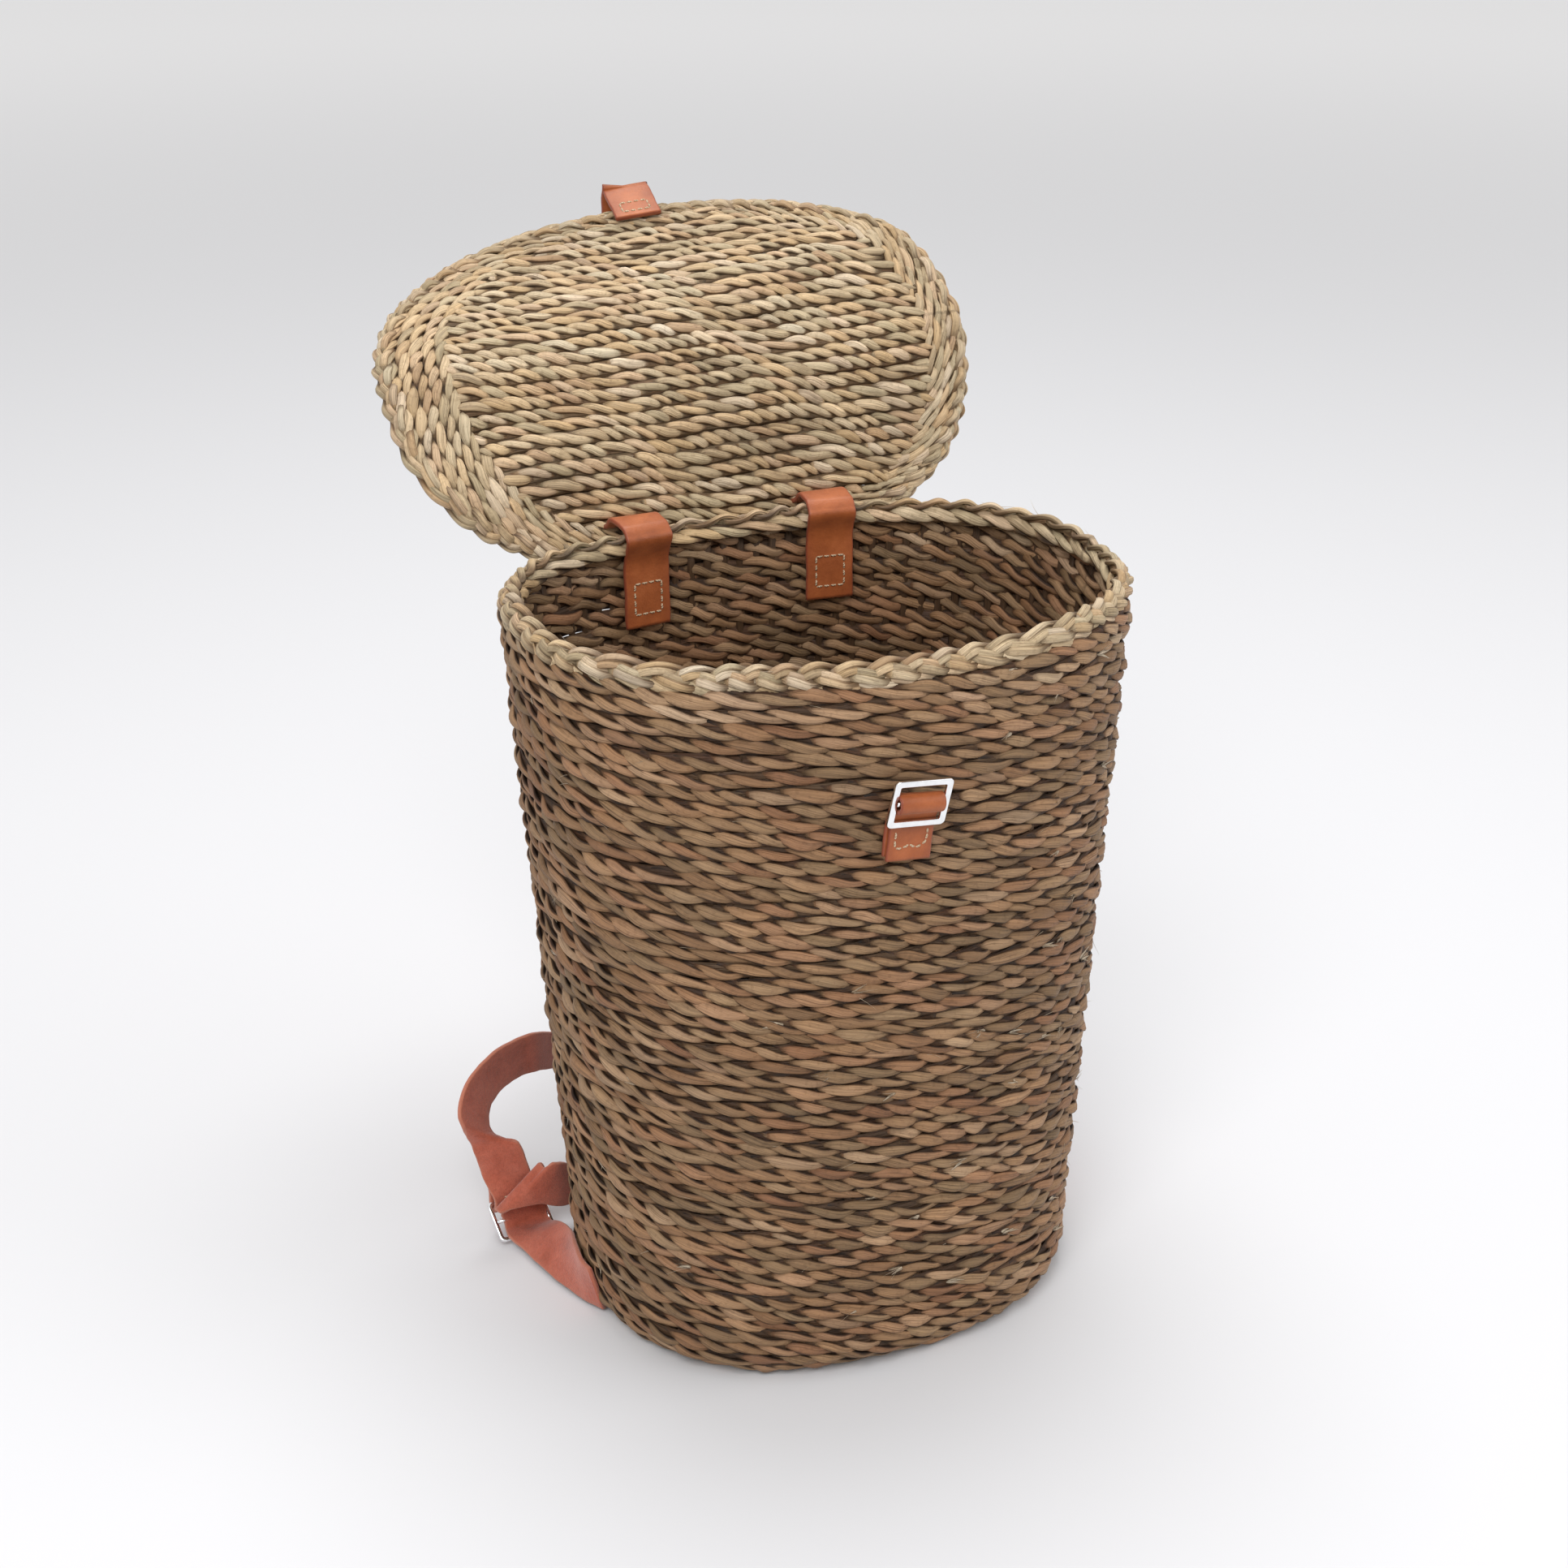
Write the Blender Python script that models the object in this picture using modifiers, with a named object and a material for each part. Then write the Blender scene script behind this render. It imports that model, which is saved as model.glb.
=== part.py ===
# Pack basket: a tapered oval basket of twined seagrass, a lid on leather hinge straps,
# a leather closing strap with a metal buckle, and two leather shoulder straps with metal slides.
# Metres, +Z up. The origin is on the floor under the middle of the base. The buckle faces -Y,
# the lid hinges on the +Y side, and the lid lies open on its soft bend.

import math

import bmesh
import bpy
from mathutils import Matrix, Vector

# Basket
basket_height = 0.3735
rim_half_width = 0.150
rim_half_depth = 0.1125
base_half_width = 0.1255
base_half_depth = 0.1073
front_exponent = 2.15
back_exponent = 2.7
base_front_exponent = 2.28
base_back_exponent = 2.35
base_rounding = 0.0143
wall_rings = 6
wall_thickness = 0.007
wall_ribs = 24
rib_depth = 0.0018
rim_radius = 0.0058
base_thickness = 0.006
base_edge_gap = 0.0006
oval_points = 72

# Gaps between pieces that touch
fit = 0.0003
curved_wall_gap = 0.0007
running_gap = 0.0009

# Lid, as it lies closed
lid_half_width = 0.157
lid_depth = 0.218
lid_overhang = 0.0045
lid_shift = -0.0027
border_thickness = 0.009
panel_thickness = 0.007
border_left = 0.037
border_right = 0.023
border_ends = 0.014
lid_cut_points = 48

# Hinge line inside the back rim, and the lid's soft bend
hinge_inset = 0.0078
hinge_drop = 0.0086
open_angle = math.radians(111)
bend_angle = math.radians(23)
bend_skew = math.radians(10.9)
bend_from_edge = 0.104
bend_half_length = 0.031

# Leather and thread
leather = 0.0025
strap_width = 0.025
thread_radius = 0.0005

# Hinge straps
hinge_strap_x = 0.0515
hinge_strap_drop = 0.0500
hinge_square = 0.016
hinge_square_width = 0.015
hinge_square_drop = 0.035
slit_from_edge = 0.024
slit_length = 0.0062
slit_slack = 0.0009
slit_turn_radius = 0.0028
lid_leaf_length = 0.0195
lid_square_from_slit = 0.0115
lid_square = 0.011
lid_leaf_route = ((-0.0021, -0.0095), (-0.0003, -0.0023), (0.0002, 0.0018))

# Closing strap
closing_strap_x = 0.0035
closing_end_inside = 0.014
closing_end_outside = 0.012
closing_fold_gap = 0.0026
closing_strap_length = 0.105
closing_tip_width = 0.020

# Front buckle and its leather loop
tab_width = 0.021
tab_leather = 0.002
tab_x = -0.0134
tab_bottom = 0.2811
tab_turn = math.radians(5.8)
bar_rise = 0.0286
bar_stand_off = 0.009
roll_radius = 0.0036
tab_back_neck = (-0.0045, 0.0262)
tab_front_neck = (-0.0072, 0.0242)
tab_front_waist = (-0.0049, 0.0195)
tab_waist_share = 0.49
tab_thread_shares = (0.20, 0.42)
buckle_width = 0.0284
buckle_height = 0.0238
buckle_rail = 0.0029
buckle_bar = 0.0022
buckle_thickness = 0.0018
buckle_corner = 0.002
buckle_tilt = math.radians(10)

# Shoulder straps and their slides
slide_width = 0.031
slide_height = 0.023
slide_rail = 0.0024
slide_corner = 0.003
slide_across = (0.997, 0.068, 0.048)
slide_up = (-0.082, 0.776, 0.625)
slide_shares = (-0.931, 0.684, 0.0305)
top_tab_x_share = 0.24
top_tab_top = 0.322
top_tab_length = 0.031
fold_thread_rise = 0.0055
fold_leaf_length = 0.010
tab_tip_width = 0.008
tab_tip_length = 0.003


def clear_scene():
    for obj in list(bpy.data.objects):
        bpy.data.objects.remove(obj, do_unlink=True)


def new_collection(name, hidden=False):
    collection = bpy.data.collections.new(name)
    collection.hide_render = hidden
    bpy.context.scene.collection.children.link(collection)
    return collection


clear_scene()
parts = new_collection("pack_basket")
cutters = new_collection("cutters", hidden=True)


def material(name, colour, roughness, metallic=0.0):
    made = bpy.data.materials.new(name)
    made.use_nodes = True
    shader = made.node_tree.nodes["Principled BSDF"]
    shader.inputs["Base Color"].default_value = (*colour, 1.0)
    shader.inputs["Roughness"].default_value = roughness
    shader.inputs["Metallic"].default_value = metallic
    return made


seagrass = material("seagrass", (0.42, 0.28, 0.15), 0.7)
pale_seagrass = material("pale_seagrass", (0.56, 0.45, 0.27), 0.7)
hinge_leather = material("hinge_leather", (0.52, 0.17, 0.06), 0.45)
strap_leather = material("strap_leather", (0.45, 0.13, 0.08), 0.75)
bright_metal = material("bright_metal", (0.80, 0.80, 0.82), 0.18, 1.0)
cream_thread = material("cream_thread", (0.72, 0.58, 0.42), 0.8)


def link(name, data, slot, collection=parts):
    obj = bpy.data.objects.new(name, data)
    collection.objects.link(obj)
    if slot:
        data.materials.append(slot)
    if collection is cutters:
        obj.hide_render = True
        obj.display_type = "WIRE"
    return obj


def mesh_object(name, bm, slot, collection=parts, smooth=True):
    data = bpy.data.meshes.new(name)
    bm.to_mesh(data)
    bm.free()
    if smooth:
        data.shade_smooth()
        data.set_sharp_from_angle(angle=math.radians(35))
    return link(name, data, slot, collection)


# Oval outlines

rim_exponents = (front_exponent, back_exponent)


def oval(half_width, half_depth, centre=(0.0, 0.0), exponents=rim_exponents, count=oval_points):
    """Points of a rounded oval, with its own exponent on the -Y half and on the +Y half."""
    points = []
    for index in range(count):
        angle = 2 * math.pi * index / count
        along, away = math.cos(angle), math.sin(angle)
        power = 2 / exponents[1 if away > 0 else 0]
        x = half_width * math.copysign(abs(along) ** power, along)
        y = half_depth * math.copysign(abs(away) ** power, away)
        points.append((centre[0] + x, centre[1] + y))
    return points


def wall_half_sizes(z):
    share = z / basket_height
    return (
        base_half_width + (rim_half_width - base_half_width) * share,
        base_half_depth + (rim_half_depth - base_half_depth) * share,
    )


def wall_exponents(z):
    share = z / basket_height
    return (
        base_front_exponent + (front_exponent - base_front_exponent) * share,
        base_back_exponent + (back_exponent - base_back_exponent) * share,
    )


def wall_y(x, z, side):
    """The wall's outer face at x, on the back for side 1 and on the front for side -1."""
    half_width, half_depth = wall_half_sizes(z)
    exponent = wall_exponents(z)[1 if side > 0 else 0]
    return side * half_depth * (1 - abs(x / half_width) ** exponent) ** (1 / exponent)


def wall_turn(x, z, side):
    """How far the wall turns from the X axis at x."""
    return math.atan2(wall_y(x + fit, z, side) - wall_y(x - fit, z, side), 2 * fit)


depth_lean = (rim_half_depth - base_half_depth) / basket_height
width_lean = (rim_half_width - base_half_width) / basket_height


# Basket

def inset_ring(ring, distance):
    """The ring's points moved inwards, square to the outline."""
    moved = []
    for index, (x, y) in enumerate(ring):
        before, after = ring[index - 1], ring[(index + 1) % len(ring)]
        along = Vector((after[0] - before[0], after[1] - before[1])).normalized()
        moved.append((x - along.y * distance, y + along.x * distance))
    return moved


def wall_outline(z, inset=0.0):
    half_width, half_depth = wall_half_sizes(z)
    return oval(half_width - inset, half_depth - inset, exponents=wall_exponents(z))


def make_wall():
    """A loft from the rounded foot to the rim: rows of weave as ribs outside, smooth inside."""
    top = basket_height - 2 * rim_radius - 2 * fit - wall_thickness * width_lean
    outside, inside = [], []
    for step in range(wall_rings):
        angle = math.pi / 2 * step / wall_rings
        ring = wall_outline(base_rounding * (1 - math.cos(angle)), base_rounding * (1 - math.sin(angle)))
        z = base_rounding * (1 - math.cos(angle))
        outside.append((z, ring))
        inside.append((z + wall_thickness * math.cos(angle), inset_ring(ring, wall_thickness * math.sin(angle))))
    for step in range(2 * wall_ribs + 1):
        z = base_rounding + (top - base_rounding) * step / (2 * wall_ribs)
        outside.append((z, wall_outline(z, rib_depth if step % 2 else 0.0)))
    for step in range(wall_rings + 1):
        z = base_rounding + (top - base_rounding) * step / wall_rings
        inside.append((z, inset_ring(wall_outline(z), wall_thickness)))
    bm = bmesh.new()
    rings = [[bm.verts.new((x, y, z)) for x, y in ring] for z, ring in outside + inside[::-1]]
    for lower, upper in zip(rings, rings[1:] + rings[:1]):
        for index in range(oval_points):
            after = (index + 1) % oval_points
            bm.faces.new((lower[index], lower[after], upper[after], upper[index]))
    bmesh.ops.recalc_face_normals(bm, faces=bm.faces)
    mesh_object("basket_wall", bm, seagrass)


def plate(name, outline, bottom, top, slot, collection=parts):
    bm = bmesh.new()
    face = bm.faces.new([bm.verts.new((x, y, bottom)) for x, y in outline])
    grown = bmesh.ops.extrude_face_region(bm, geom=[face])
    moved = [item for item in grown["geom"] if isinstance(item, bmesh.types.BMVert)]
    bmesh.ops.translate(bm, verts=moved, vec=(0, 0, top - bottom))
    bmesh.ops.recalc_face_normals(bm, faces=bm.faces)
    return mesh_object(name, bm, slot, collection)


def make_base():
    inset = base_rounding + base_edge_gap
    exponents = (base_front_exponent, base_back_exponent)
    outline = oval(base_half_width - inset, base_half_depth - inset, exponents=exponents)
    plate("basket_base", outline, 0.0, base_thickness, seagrass)


def tube(name, points, radius, slot, closed=False, sides=2):
    curve = bpy.data.curves.new(name, "CURVE")
    curve.dimensions = "3D"
    curve.bevel_depth = radius
    curve.bevel_resolution = sides
    curve.use_fill_caps = not closed
    spline = curve.splines.new("POLY")
    spline.points.add(len(points) - 1)
    for place, point in zip(spline.points, points):
        place.co = (*point, 1.0)
    spline.use_cyclic_u = closed
    return link(name, curve, slot)


def make_rim():
    z = basket_height - rim_radius
    centre_line = oval(rim_half_width - rim_radius, rim_half_depth - rim_radius)
    tube("rim_braid", [(x, y, z) for x, y in centre_line], rim_radius, pale_seagrass, closed=True)


make_wall()
make_base()
make_rim()


# Joint frames. Each is an empty that turns its pieces from the closed lid to the open one

closed_frames = {}


def joint_frame(name, closed, turn, parent=None):
    """An empty on a joint's axis, its local X. Its pieces are made as the lid lies closed."""
    empty = bpy.data.objects.new(name, None)
    parts.objects.link(empty)
    if parent:
        empty.parent = parent
        empty.matrix_parent_inverse = closed_frames[parent.name].inverted()
    empty.matrix_basis = closed @ Matrix.Rotation(turn, 4, "X")
    closed_frames[name] = closed
    bpy.context.view_layer.update()
    return empty


def ride(obj, frame):
    obj.parent = frame
    obj.matrix_parent_inverse = closed_frames[frame.name].inverted()
    return obj


rim_gap = leather + 2 * fit + 2 * curved_wall_gap
lid_middle = basket_height + rim_gap + border_thickness / 2
lid_bottom = lid_middle - border_thickness / 2
lid_top = lid_middle + border_thickness / 2
lid_back = rim_half_depth + lid_overhang
lid_centre = (lid_shift, lid_back - lid_depth / 2)

hinge_place = Vector((0.0, rim_half_depth - hinge_inset, basket_height - hinge_drop))
hinge = joint_frame("lid_hinge", Matrix.Translation(hinge_place), -open_angle)


def crease_frame(shift):
    """A line across the lid's outer face, turned by the skew and shifted along the lid."""
    middle = Vector((lid_shift, lid_back - bend_from_edge, lid_top))
    along = Vector((-math.sin(bend_skew), -math.cos(bend_skew), 0.0))
    turned = Matrix.Rotation(-bend_skew, 4, "Z")
    return Matrix.Translation(middle + along * shift) @ turned


rear_bend = joint_frame("lid_rear_bend", crease_frame(-bend_half_length), -bend_angle, hinge)
front_bend = joint_frame("lid_front_bend", crease_frame(bend_half_length), -bend_angle, rear_bend)


# Lid

def lid_blank(name, outlines, thickness):
    """A flat piece with the given outlines, centred on the lid's middle height."""
    curve = bpy.data.curves.new(name, "CURVE")
    curve.dimensions = "2D"
    curve.fill_mode = "BOTH"
    curve.extrude = thickness / 2
    for outline in outlines:
        spline = curve.splines.new("POLY")
        spline.points.add(len(outline) - 1)
        for place, (x, y) in zip(spline.points, outline):
            place.co = (x, y, 0.0, 1.0)
        spline.use_cyclic_u = True
    obj = link(name, curve, None, cutters)
    obj.location = (0.0, 0.0, lid_middle)
    bpy.context.view_layer.update()
    graph = bpy.context.evaluated_depsgraph_get()
    data = bpy.data.meshes.new_from_object(obj.evaluated_get(graph))
    bm = bmesh.new()
    bm.from_mesh(data)
    bmesh.ops.remove_doubles(bm, verts=bm.verts, dist=fit / 10)
    bmesh.ops.translate(bm, verts=bm.verts, vec=obj.location)
    bm.to_mesh(data)
    bm.free()
    bpy.data.objects.remove(obj, do_unlink=True)
    return data


def strip_box(name, low, high, side, frame):
    """A box over the strip of the lid between two shifts from the bend's middle line."""
    reach = lid_depth
    left = -reach if side <= 0 else 0.0
    right = reach if side >= 0 else 0.0
    bm = bmesh.new()
    bmesh.ops.create_cube(bm, size=1.0)
    size = (right - left, high - low, reach)
    middle = ((left + right) / 2, -(low + high) / 2, -border_thickness / 2)
    place = crease_frame(0.0) @ Matrix.Translation(middle) @ Matrix.Diagonal((*size, 1.0))
    bmesh.ops.transform(bm, matrix=place, verts=bm.verts)
    return ride(mesh_object(name, bm, None, cutters, smooth=False), frame)


def lid_piece(name, blank, low, high, side, frame, slot):
    """The part of a blank that lies in one strip, riding on its joint frame."""
    piece = ride(link(name, blank.copy(), slot), frame)
    cut = piece.modifiers.new("strip", "BOOLEAN")
    cut.operation = "INTERSECT"
    cut.object = strip_box(name + "_strip", low, high, side, frame)
    return piece


lid_outline = oval(lid_half_width, lid_depth / 2, lid_centre)
panel_half_width = lid_half_width - (border_left + border_right) / 2
panel_half_depth = lid_depth / 2 - border_ends
panel_centre = (lid_centre[0] + (border_left - border_right) / 2, lid_centre[1])
inner_outline = oval(panel_half_width, panel_half_depth, panel_centre)
panel_outline = oval(panel_half_width - fit, panel_half_depth - fit, panel_centre)
crease_edge = bend_half_length + fit / 2
near_edge, far_edge = bend_half_length - fit / 2, lid_depth
strips = (
    ("rear", -far_edge, -crease_edge, hinge),
    ("middle", -near_edge, near_edge, rear_bend),
    ("front", crease_edge, far_edge, front_bend),
)


def make_lid():
    panel_blank = lid_blank("panel_blank", [panel_outline], panel_thickness)
    border_blank = lid_blank("border_blank", [lid_outline, inner_outline], border_thickness)
    panels = {}
    for label, low, high, frame in strips:
        panels[label] = lid_piece("lid_panel_" + label, panel_blank, low, high, 0, frame, pale_seagrass)
        sides = (("left", -1), ("right", 1)) if label == "middle" else (("", 0),)
        for end, side in sides:
            name = "lid_border_" + (end or label)
            lid_piece(name, border_blank, low, high, side, frame, pale_seagrass)
    return panels


lid_panels = make_lid()


# Leather ribbons

def smooth_stations(stations, steps):
    """Stations on a smooth curve through the given ones: centre, direction across, width."""
    smooth = []
    last = len(stations) - 1
    for index in range(last):
        four = [stations[max(0, min(last, index + shift))] for shift in (-1, 0, 1, 2)]
        for step in range(steps):
            smooth.append(blended(four, step / steps))
    smooth.append(blended([stations[last]] * 4, 0.0))
    return smooth


def blended(four, t):
    weights = (
        (-t + 2 * t**2 - t**3) / 2,
        (2 - 5 * t**2 + 3 * t**3) / 2,
        (t + 4 * t**2 - 3 * t**3) / 2,
        (-(t**2) + t**3) / 2,
    )
    centre = sum((Vector(item[0]) * w for item, w in zip(four, weights)), Vector())
    across = sum((Vector(item[1]) * w for item, w in zip(four, weights)), Vector())
    width = sum(item[2] * w for item, w in zip(four, weights))
    return centre, across.normalized(), width


def ribbon(name, stations, thickness, slot):
    """A strip of leather along its stations, thickened evenly to both sides."""
    bm = bmesh.new()
    rows = []
    for centre, across, width in stations:
        ends = (centre - across * width / 2, centre, centre + across * width / 2)
        rows.append([bm.verts.new(end) for end in ends])
    for before, after in zip(rows, rows[1:]):
        for column in range(2):
            bm.faces.new((before[column], before[column + 1], after[column + 1], after[column]))
    strip = mesh_object(name, bm, slot)
    shell = strip.modifiers.new("thickness", "SOLIDIFY")
    shell.thickness = thickness
    shell.offset = 0
    shell.use_even_offset = True
    return strip


x_axis, y_axis, z_axis = Vector((1, 0, 0)), Vector((0, 1, 0)), Vector((0, 0, 1))


def upright(places, width, across=x_axis):
    """Stations of a ribbon that runs in its local YZ plane."""
    return [(Vector((0.0, out, up)), across, width) for out, up in places]


def arc(centre, radius, start, end, count):
    """Places on an arc in a local YZ plane, its angles in degrees from +Y."""
    places = []
    for index in range(count + 1):
        angle = math.radians(start + (end - start) * index / count)
        places.append((centre[0] + radius * math.cos(angle), centre[1] + radius * math.sin(angle)))
    return places


def square_thread(name, half_width, half_height, slot=cream_thread):
    corners = ((-1, -1), (1, -1), (1, 1), (-1, 1))
    points = [(x * half_width, 0.0, z * half_height) for x, z in corners]
    return tube(name, points, thread_radius, slot, closed=True, sides=1)


thread_lift = leather / 2 + fit + thread_radius


# Hinge straps

def make_hinge_strap(label, side):
    """One strap as two leaves: up the wall and over the rim, then through the lid."""
    x = side * hinge_strap_x
    turn = wall_turn(x, basket_height, 1)
    outer = wall_y(x, basket_height, 1)
    inner = outer - rim_radius * depth_lean * 2 - wall_thickness / math.cos(turn)
    rim_middle = outer - rim_radius
    over_rim = rim_radius + fit + curved_wall_gap + leather / 2
    off_wall = inner - curved_wall_gap - fit - leather / 2
    rim_height = basket_height - rim_radius
    strap_bottom = basket_height - hinge_strap_drop
    straight_top = rim_height - 2 * rim_radius

    def on_wall(z):
        return off_wall - (basket_height - z) * depth_lean, z

    places = [on_wall(strap_bottom), on_wall((strap_bottom + straight_top) / 2), on_wall(straight_top)]
    places += arc((rim_middle, rim_height), over_rim, 180, 90, 6)
    stations = smooth_stations(upright(places, strap_width), 2)
    leaf = ribbon("hinge_strap_" + label, stations, leather, hinge_leather)
    leaf.data.transform(Matrix.Translation((0.0, -outer, 0.0)))
    leaf.location = (x, outer, 0.0)
    leaf.rotation_euler = (0.0, 0.0, turn)

    square_z = basket_height - hinge_square_drop
    square_y = on_wall(square_z)[0] - thread_lift
    thread = square_thread("hinge_thread_" + label, hinge_square_width / 2, hinge_square / 2)
    thread.data.transform(Matrix.Rotation(-math.atan(depth_lean), 4, "X"))
    thread.data.transform(Matrix.Translation((0.0, square_y - outer, square_z)))
    thread.location = (x, outer, 0.0)
    thread.rotation_euler = (0.0, 0.0, turn)

    make_lid_leaf(label, x, turn)


def make_lid_leaf(label, x, turn):
    """The strap's other leaf, made as the lid lies closed."""
    slit_y = lid_back - slit_from_edge
    panel_top = lid_middle + panel_thickness / 2
    on_lid = panel_top + fit + leather / 2
    free_end = closed_hinge_point(hinge_leaf_rise, hinge_leaf_reach)
    open_across = Vector((math.cos(turn), math.sin(turn), 0.0))
    bent_across = Matrix.Rotation(open_angle, 3, "X") @ open_across
    turn_centre = (slit_y - slit_turn_radius, on_lid - slit_turn_radius)
    route = [(slit_y + out, lid_bottom + up) for out, up in lid_leaf_route]
    places = [(free_end.y, free_end.z)] + route + arc(turn_centre, slit_turn_radius, 0, 90, 5)
    places.append((slit_y - lid_leaf_length, on_lid))
    stations = [(Vector((x, out, up)), x_axis, strap_width) for out, up in places]
    stations[0] = (stations[0][0], bent_across, strap_width)
    ride(ribbon("hinge_strap_lid_" + label, stations, leather, hinge_leather), hinge)

    thread = square_thread("lid_thread_" + label, hinge_square_width / 2, lid_square / 2)
    thread.data.transform(Matrix.Rotation(math.pi / 2, 4, "X"))
    place = (x, slit_y - lid_square_from_slit, on_lid + thread_lift)
    thread.data.transform(Matrix.Translation(place))
    ride(thread, hinge)

    bm = bmesh.new()
    bmesh.ops.create_cube(bm, size=1.0)
    size = (strap_width + 2 * curved_wall_gap, slit_length, 2 * border_thickness, 1.0)
    middle = (x, slit_y - slit_length / 2 + leather / 2 + slit_slack, lid_middle)
    bmesh.ops.transform(bm, matrix=Matrix.Translation(middle) @ Matrix.Diagonal(size), verts=bm.verts)
    slit = ride(mesh_object("slit_" + label, bm, None, cutters, smooth=False), hinge)
    cut = lid_panels["rear"].modifiers.new("slit_" + label, "BOOLEAN")
    cut.operation = "DIFFERENCE"
    cut.object = slit


# Where a lid leaf begins, measured from the hinge line with the lid open
hinge_leaf_reach = 0.0041
hinge_leaf_rise = 0.0143


def closed_hinge_point(rise, reach):
    """A point given from the hinge line with the lid open, taken to the closed lid."""
    return hinge_place + Matrix.Rotation(open_angle, 3, "X") @ Vector((0.0, reach, rise))


make_hinge_strap("left", -1)
make_hinge_strap("right", 1)


# Closing strap

lid_front = lid_back - lid_depth
closing_z = lid_bottom - fit - leather / 2
closing_axis = Vector((closing_strap_x, lid_front - closing_end_outside - closing_fold_gap, closing_z))


def hanging_turn(frame, closed):
    """The turn about the closed frame's X axis that lets a piece hang straight down."""
    world = frame.matrix_world @ closed_frames[frame.name].inverted() @ closed
    down = world.to_3x3().inverted() @ Vector((0.0, 0.0, -1.0))
    return math.atan2(down.y, -down.z)


def make_closing_strap():
    closed = Matrix.Translation(closing_axis)
    swing = joint_frame("closing_strap_swing", closed, hanging_turn(front_bend, closed), front_bend)
    sewn = [
        (Vector((closing_strap_x, lid_front + closing_end_inside, closing_z)), x_axis, strap_width),
        (Vector((closing_strap_x, lid_front - closing_end_outside, closing_z)), x_axis, strap_width),
    ]
    ride(ribbon("closing_strap_end", sewn, leather, hinge_leather), front_bend)

    thread = square_thread("closing_thread", hinge_square_width / 2, closing_end_inside / 4)
    thread.data.transform(Matrix.Rotation(math.pi / 2, 4, "X"))
    place = (closing_strap_x, lid_front + closing_end_inside / 2, closing_z - thread_lift)
    thread.data.transform(Matrix.Translation(place))
    ride(thread, front_bend)

    top = closing_z - closing_fold_gap
    shoulder = closing_strap_length - strap_width / 4
    free = []
    for drop, width in ((0.0, strap_width), (shoulder, strap_width), (closing_strap_length, closing_tip_width)):
        free.append((Vector((closing_strap_x, closing_axis.y, top - drop)), x_axis, width))
    ride(ribbon("closing_strap", free, leather, hinge_leather), swing)


make_closing_strap()


# Flat metal frames

def rounded_rectangle(half_width, half_height, radius, centre=(0.0, 0.0), count=3):
    points = []
    for quarter, (side, end) in enumerate(((1, 1), (-1, 1), (-1, -1), (1, -1))):
        corner_x = centre[0] + side * (half_width - radius)
        corner_z = centre[1] + end * (half_height - radius)
        for step in range(count + 1):
            angle = math.pi / 2 * (quarter + step / count)
            points.append((corner_x + radius * math.cos(angle), corner_z + radius * math.sin(angle)))
    return points


def metal_slide(name, width, height, rail, bar, thickness, corner):
    """A rectangular frame with a bar across its middle, the bar on the local X axis."""
    window_height = height / 2 - rail - bar / 2
    window_middle = bar / 2 + window_height / 2
    outlines = [rounded_rectangle(width / 2, height / 2, corner)]
    for side in (-1, 1):
        outlines.append(
            rounded_rectangle(width / 2 - rail, window_height / 2, corner / 4, (0.0, side * window_middle))
        )
    curve = bpy.data.curves.new(name, "CURVE")
    curve.dimensions = "2D"
    curve.fill_mode = "BOTH"
    curve.extrude = thickness / 2
    for outline in outlines:
        spline = curve.splines.new("POLY")
        spline.points.add(len(outline) - 1)
        for place, (x, y) in zip(spline.points, outline):
            place.co = (x, y, 0.0, 1.0)
        spline.use_cyclic_u = True
    return link(name, curve, bright_metal)


def make_front_buckle():
    wall = wall_y(tab_x, tab_bottom, -1)
    lean = math.atan(depth_lean)
    turned = Matrix.Rotation(tab_turn, 4, "Y") @ Matrix.Rotation(lean, 4, "X")
    placed = Matrix.Translation((tab_x, wall, tab_bottom)) @ turned
    back = -(fit + curved_wall_gap + tab_leather / 2)
    front = back - tab_leather - fit
    bar = (-bar_stand_off, bar_rise)
    places = [(back, 0.0), (back, bar_rise * tab_waist_share), tab_back_neck]
    places += arc(bar, roll_radius, 50, 250, 10)
    places += [tab_front_neck, tab_front_waist, (front, bar_rise * tab_waist_share), (front, 0.0)]
    tab = ribbon("front_tab", upright(places, tab_width), tab_leather, hinge_leather)
    tab.matrix_world = placed

    thread_out = front - tab_leather / 2 - 2 * fit - thread_radius
    half = hinge_square_width / 2
    low, high = (bar_rise * share for share in tab_thread_shares)
    lifted = [(x, thread_out, z) for x, z in ((-half, high), (-half, low), (half, low), (half, high))]
    thread = tube("front_thread", lifted, thread_radius, cream_thread, sides=1)
    thread.matrix_world = placed

    buckle = metal_slide(
        "front_buckle", buckle_width, buckle_height, buckle_rail, buckle_bar, buckle_thickness, buckle_corner
    )
    tilt = Matrix.Rotation(math.pi / 2 + buckle_tilt, 4, "X")
    buckle.matrix_world = placed @ Matrix.Translation((0.0, *bar)) @ tilt


make_front_buckle()


# Shoulder straps. Places are shares of the rim's half width, the rim's half depth and the height

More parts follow.
